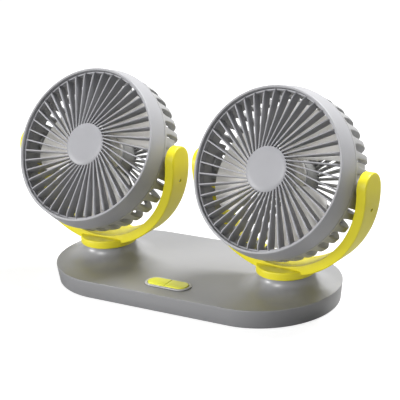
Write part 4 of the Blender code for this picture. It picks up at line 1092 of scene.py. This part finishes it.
def make_guard(side):
    """The rear guard: motor cup, ribs, flange and a pad at each pivot, with the bosses and
    washers between the pads and the yoke."""
    matrix = head_matrix(side)
    body = bmesh.new()
    back = BOWL_REAR - BOWL_DEPTH
    cup = [
        (0, back + 0.3, 0),
        (CUP_RADIUS - 3, back + 0.3, 0.3),
        (CUP_RADIUS - 2.2, back, 0.3),
        (CUP_RADIUS, back, 1.2),
        (CUP_RADIUS, CUP_MOUTH, 0.4),
        (CUP_BORE, CUP_MOUTH, 0.3),
        (CUP_BORE, back + CUP_FLOOR, 0),
        (0, back + CUP_FLOOR, 0),
    ]
    lathe(body, filleted(cup), DISC_STEPS)
    rim = [
        (RING_REAR_RADIUS - RING_WALL - GAP, FLANGE_FRONT, 0),
        (RING_REAR_RADIUS, FLANGE_FRONT, 0.2),
        (BOWL_RADIUS + 0.1, BOWL_REAR, 1.0),
        (BOWL_RADIUS - RIB_DEPTH, BOWL_REAR, 0.6),
        (BAND_IN, SPIGOT_FRONT, 0.2),
        (BAND_OUT, SPIGOT_FRONT, 0.2),
    ]
    lathe(body, filleted(rim, True), STEPS, True)
    curve = bowl_curve()
    for index in range(RIBS):
        rib(body, curve, 2 * math.pi * index / RIBS)
    block = [
        (BOWL_RADIUS - 4.0, PIVOT_PAD_BACK, 1.4),
        (BOWL_RADIUS - 0.4, PIVOT_PAD_BACK, 1.4),
        (BOWL_RADIUS - 0.2, PIVOT_PAD_FRONT, 0),
        (BOWL_RADIUS - 4.0, PIVOT_PAD_FRONT, 0),
    ]
    for middle in (0, math.pi):
        capped_wedge(body, filleted(block, True), middle - PIVOT_PAD_HALF, 2 * PIVOT_PAD_HALF)
    guard = solid(side + "_guard", body, GUARD_GREY, GUARD_SHARP, matrix)
    place(guard, side + "_head", "body_grey", side + "_rear_guard")
    for end, sign in (("a", -1), ("b", 1)):
        turn = Matrix.Rotation(sign * math.pi / 2, 4, "Y")
        boss = bmesh.new()
        lathe(boss, filleted(BOSS), PIVOT_STEPS)
        stub = solid(side + "_pivot_boss_" + end, boss, GUARD_GREY, GUARD_SHARP, matrix @ turn)
        place(stub, side + "_head", "body_grey")
        washer = bmesh.new()
        lathe(washer, filleted(WASHER, True), PIVOT_STEPS, True)
        made = solid(side + "_washer_" + end, washer, RUBBER, GUARD_SHARP, matrix @ turn)
        place(made, side + "_head", "dark_rubber", side + "_friction_washer_" + end)


def make_motor(side):
    """The motor's can, with a bearing boss at each end and a flange at the front."""
    body = bmesh.new()
    lathe(body, filleted(MOTOR), SMALL_STEPS)
    can = solid(side + "_motor_can", body, STEEL, GUARD_SHARP, head_matrix(side))
    place(can, side + "_head", "plated_steel", side + "_motor")


def chord_at(station):
    """The blade's share of its full width at a station from 0 at the root to 1 at the tip."""
    table = list(zip(BLADE_STATIONS, BLADE_CHORDS))
    for (first, low), (second, high) in zip(table, table[1:]):
        if station <= second:
            local = (station - first) / (second - first)
            eased = local * local * (3 - 2 * local)
            return low + (high - low) * (0.5 * eased + 0.5 * local)
    return BLADE_CHORDS[-1]


def blade(body, turn):
    """One broad blade: a grid for each face, joined round the rim."""
    root = SPINNER - SPINNER_OVERLAP
    grids = []
    for face in (-1, 1):
        grid = []
        for row in range(BLADE_ROWS + 1):
            station = row / BLADE_ROWS
            radius = root + (BLADE_TIP - root) * station
            chord = chord_at(station)
            corner = max(0.0, (station - BLADE_CORNER_START) / (1 - BLADE_CORNER_START))
            chord *= 1 - BLADE_CORNER_LOSS * (1 - math.sqrt(max(0.0, 1 - corner * corner)))
            rise = BLADE_RISE + BLADE_TIP_RISE * station
            line = []
            for column in range(BLADE_COLUMNS + 1):
                spot = 2 * column / BLADE_COLUMNS - 1
                angle = turn + BLADE_HALF_ANGLE * chord * spot - BLADE_SWEEP * station
                swell = math.sqrt(max(0.0, 1 - spot**6)) * (1 - BLADE_THINNING * station)
                thick = BLADE_HALF_THICKNESS * swell + BLADE_EDGE
                middle = rise * chord * math.sin(spot * math.pi / 2) * BLADE_RISE_SHARE
                point = (radius * math.cos(angle), radius * math.sin(angle))
                line.append(body.verts.new((*point, middle + face * thick + BLADE_CENTRE)))
            grid.append(line)
        grids.append(grid)
    for grid in grids:
        for near, far in zip(grid, grid[1:]):
            bridge(body, near, far, around=False)
    back, front = grids
    rim = [(0, column) for column in range(BLADE_COLUMNS + 1)]
    rim += [(row, BLADE_COLUMNS) for row in range(1, BLADE_ROWS + 1)]
    rim += [(BLADE_ROWS, column) for column in range(BLADE_COLUMNS - 1, -1, -1)]
    rim += [(row, 0) for row in range(BLADE_ROWS - 1, 0, -1)]
    bridge(body, [back[r][c] for r, c in rim], [front[r][c] for r, c in rim])


def make_impeller(side):
    """A hollow spinner with a tube for the shaft, and the blades round it."""
    body = bmesh.new()
    corners = [
        (0, SPINNER_FRONT, 0),
        (SPINNER, SPINNER_FRONT, 2.2),
        (SPINNER, SPINNER_BACK, 0.2),
        (SPINNER - SPINNER_WALL, SPINNER_BACK, 0.2),
        (SPINNER - SPINNER_WALL, SPINNER_INSIDE, 1.2),
        (SHAFT_TUBE, SPINNER_INSIDE, 0),
        (SHAFT_TUBE, SHAFT_TUBE_BACK, 0.2),
        (SHAFT_HOLE, SHAFT_TUBE_BACK, 0),
        (SHAFT_HOLE, SPINNER_INSIDE, 0),
        (0, SPINNER_INSIDE, 0),
    ]
    lathe(body, filleted(corners), SMALL_STEPS)
    for index in range(BLADES):
        blade(body, BLADE_TURN[side] + 2 * math.pi * index / BLADES)
    fan = solid(side + "_fan", body, BLADE_GREY, FAN_SHARP, head_matrix(side))
    place(fan, side + "_fan", "warm_grey", side + "_impeller")


def finish_inner_nodes():
    """Gives the frame's own small pieces, mostly out of sight, a procedural material each."""
    looks = {
        "control_board": BOARD,
        "switch_body": BLACK,
        "plunger": BUTTON_YELLOW,
        "base_screw": STEEL,
        "spindle": BLACK,
        "spring_washer": STEEL,
        "swivel_nut": STEEL,
        "pivot_pin": STEEL,
        "motor_screw": STEEL,
        "motor_shaft": STEEL,
    }
    for name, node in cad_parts.items():
        for key, look in looks.items():
            if key in name:
                node.data.materials.clear()
                node.data.materials.append(look)


# Stage

def make_stage():
    """A pale floor that keeps the shadow and looks white to the camera."""
    half = FLOOR_HALF
    corners = [(-half, -half, 0), (half, -half, 0), (half, half, 0), (-half, half, 0)]
    mesh = bpy.data.meshes.new("floor")
    mesh.from_pydata(corners, [], [(0, 1, 2, 3)])
    floor = bpy.data.objects.new("floor", mesh)
    bpy.context.scene.collection.objects.link(floor)
    made, tree, shader = material("pale_floor", (FLOOR_GREY,) * 3, FLOOR_ROUGHNESS)
    shader.inputs["Specular IOR Level"].default_value = FLOOR_SPECULAR
    path = tree.nodes.new("ShaderNodeLightPath")
    shader.inputs["Emission Color"].default_value = (1, 1, 1, 1)
    lift = tree.nodes.new("ShaderNodeMath")
    lift.operation = "MULTIPLY"
    lift.inputs[1].default_value = FLOOR_SEEN
    tree.links.new(path.outputs["Is Camera Ray"], lift.inputs[0])
    tree.links.new(lift.outputs[0], shader.inputs["Emission Strength"])
    mesh.materials.append(made)


def background(tree, strength):
    """A white background of some strength."""
    node = tree.nodes.new("ShaderNodeBackground")
    node.inputs["Color"].default_value = (1, 1, 1, 1)
    node.inputs["Strength"].default_value = strength
    return node


def make_world():
    """White to camera, glossy and transmission rays, and a faint fill to all others."""
    world = bpy.data.worlds.new("studio")
    bpy.context.scene.world = world
    world.use_nodes = True
    tree = world.node_tree
    tree.nodes.clear()
    path = tree.nodes.new("ShaderNodeLightPath")
    seen = background(tree, WORLD_SEEN)
    soft = background(tree, WORLD_FILL)
    either = tree.nodes.new("ShaderNodeMath")
    either.operation = "MAXIMUM"
    both = tree.nodes.new("ShaderNodeMath")
    both.operation = "MAXIMUM"
    mix = tree.nodes.new("ShaderNodeMixShader")
    out = tree.nodes.new("ShaderNodeOutputWorld")
    tree.links.new(path.outputs["Is Camera Ray"], either.inputs[0])
    tree.links.new(path.outputs["Is Glossy Ray"], either.inputs[1])
    tree.links.new(either.outputs[0], both.inputs[0])
    tree.links.new(path.outputs["Is Transmission Ray"], both.inputs[1])
    tree.links.new(both.outputs[0], mix.inputs["Fac"])
    tree.links.new(soft.outputs[0], mix.inputs[1])
    tree.links.new(seen.outputs[0], mix.inputs[2])
    tree.links.new(mix.outputs[0], out.inputs["Surface"])


def lamp(name, position, aim, size, power):
    """A square softbox."""
    data = bpy.data.lights.new(name, "AREA")
    data.energy = power
    data.size = size
    data.shape = "SQUARE"
    light = bpy.data.objects.new(name, data)
    bpy.context.scene.collection.objects.link(light)
    light.location = position
    direction = Vector(aim) - Vector(position)
    light.rotation_euler = direction.to_track_quat("-Z", "Y").to_euler()


def make_camera():
    """The photograph's view: direction, roll and focal length were fitted to it."""
    azimuth, elevation, roll = CAMERA_AZIMUTH, CAMERA_ELEVATION, CAMERA_ROLL
    back = Vector(
        (
            math.sin(azimuth) * math.cos(elevation),
            -math.cos(azimuth) * math.cos(elevation),
            math.sin(elevation),
        )
    )
    right = Vector((math.cos(azimuth), math.sin(azimuth), 0))
    up = back.cross(right)
    rolled_right = right * math.cos(roll) + up * math.sin(roll)
    rolled_up = up * math.cos(roll) - right * math.sin(roll)
    turn = Matrix((rolled_right, rolled_up, back)).transposed().to_4x4()
    data = bpy.data.cameras.new("camera")
    data.sensor_fit = "HORIZONTAL"
    data.sensor_width = SENSOR
    data.lens = FOCAL_PIXELS * SENSOR / IMAGE_PIXELS
    data.clip_start = CLIP_NEAR
    data.clip_end = CLIP_FAR
    camera = bpy.data.objects.new("camera", data)
    bpy.context.scene.collection.objects.link(camera)
    camera.matrix_world = Matrix.Translation(Vector(CAMERA_TARGET) + back * CAMERA_DISTANCE) @ turn
    bpy.context.scene.camera = camera


make_camera()
make_world()
make_stage()
for lamp_facts in LAMPS:
    lamp(*lamp_facts)
bpy.context.scene.view_settings.view_transform = "Standard"
make_shell()
make_plate()
make_pad()
make_bezel()
make_buttons()
make_socket()
for side_name in SIGN:
    make_yoke(side_name)
    make_ring(side_name)
    make_grille(side_name)
    make_guard(side_name)
    make_motor(side_name)
    make_impeller(side_name)
finish_inner_nodes()
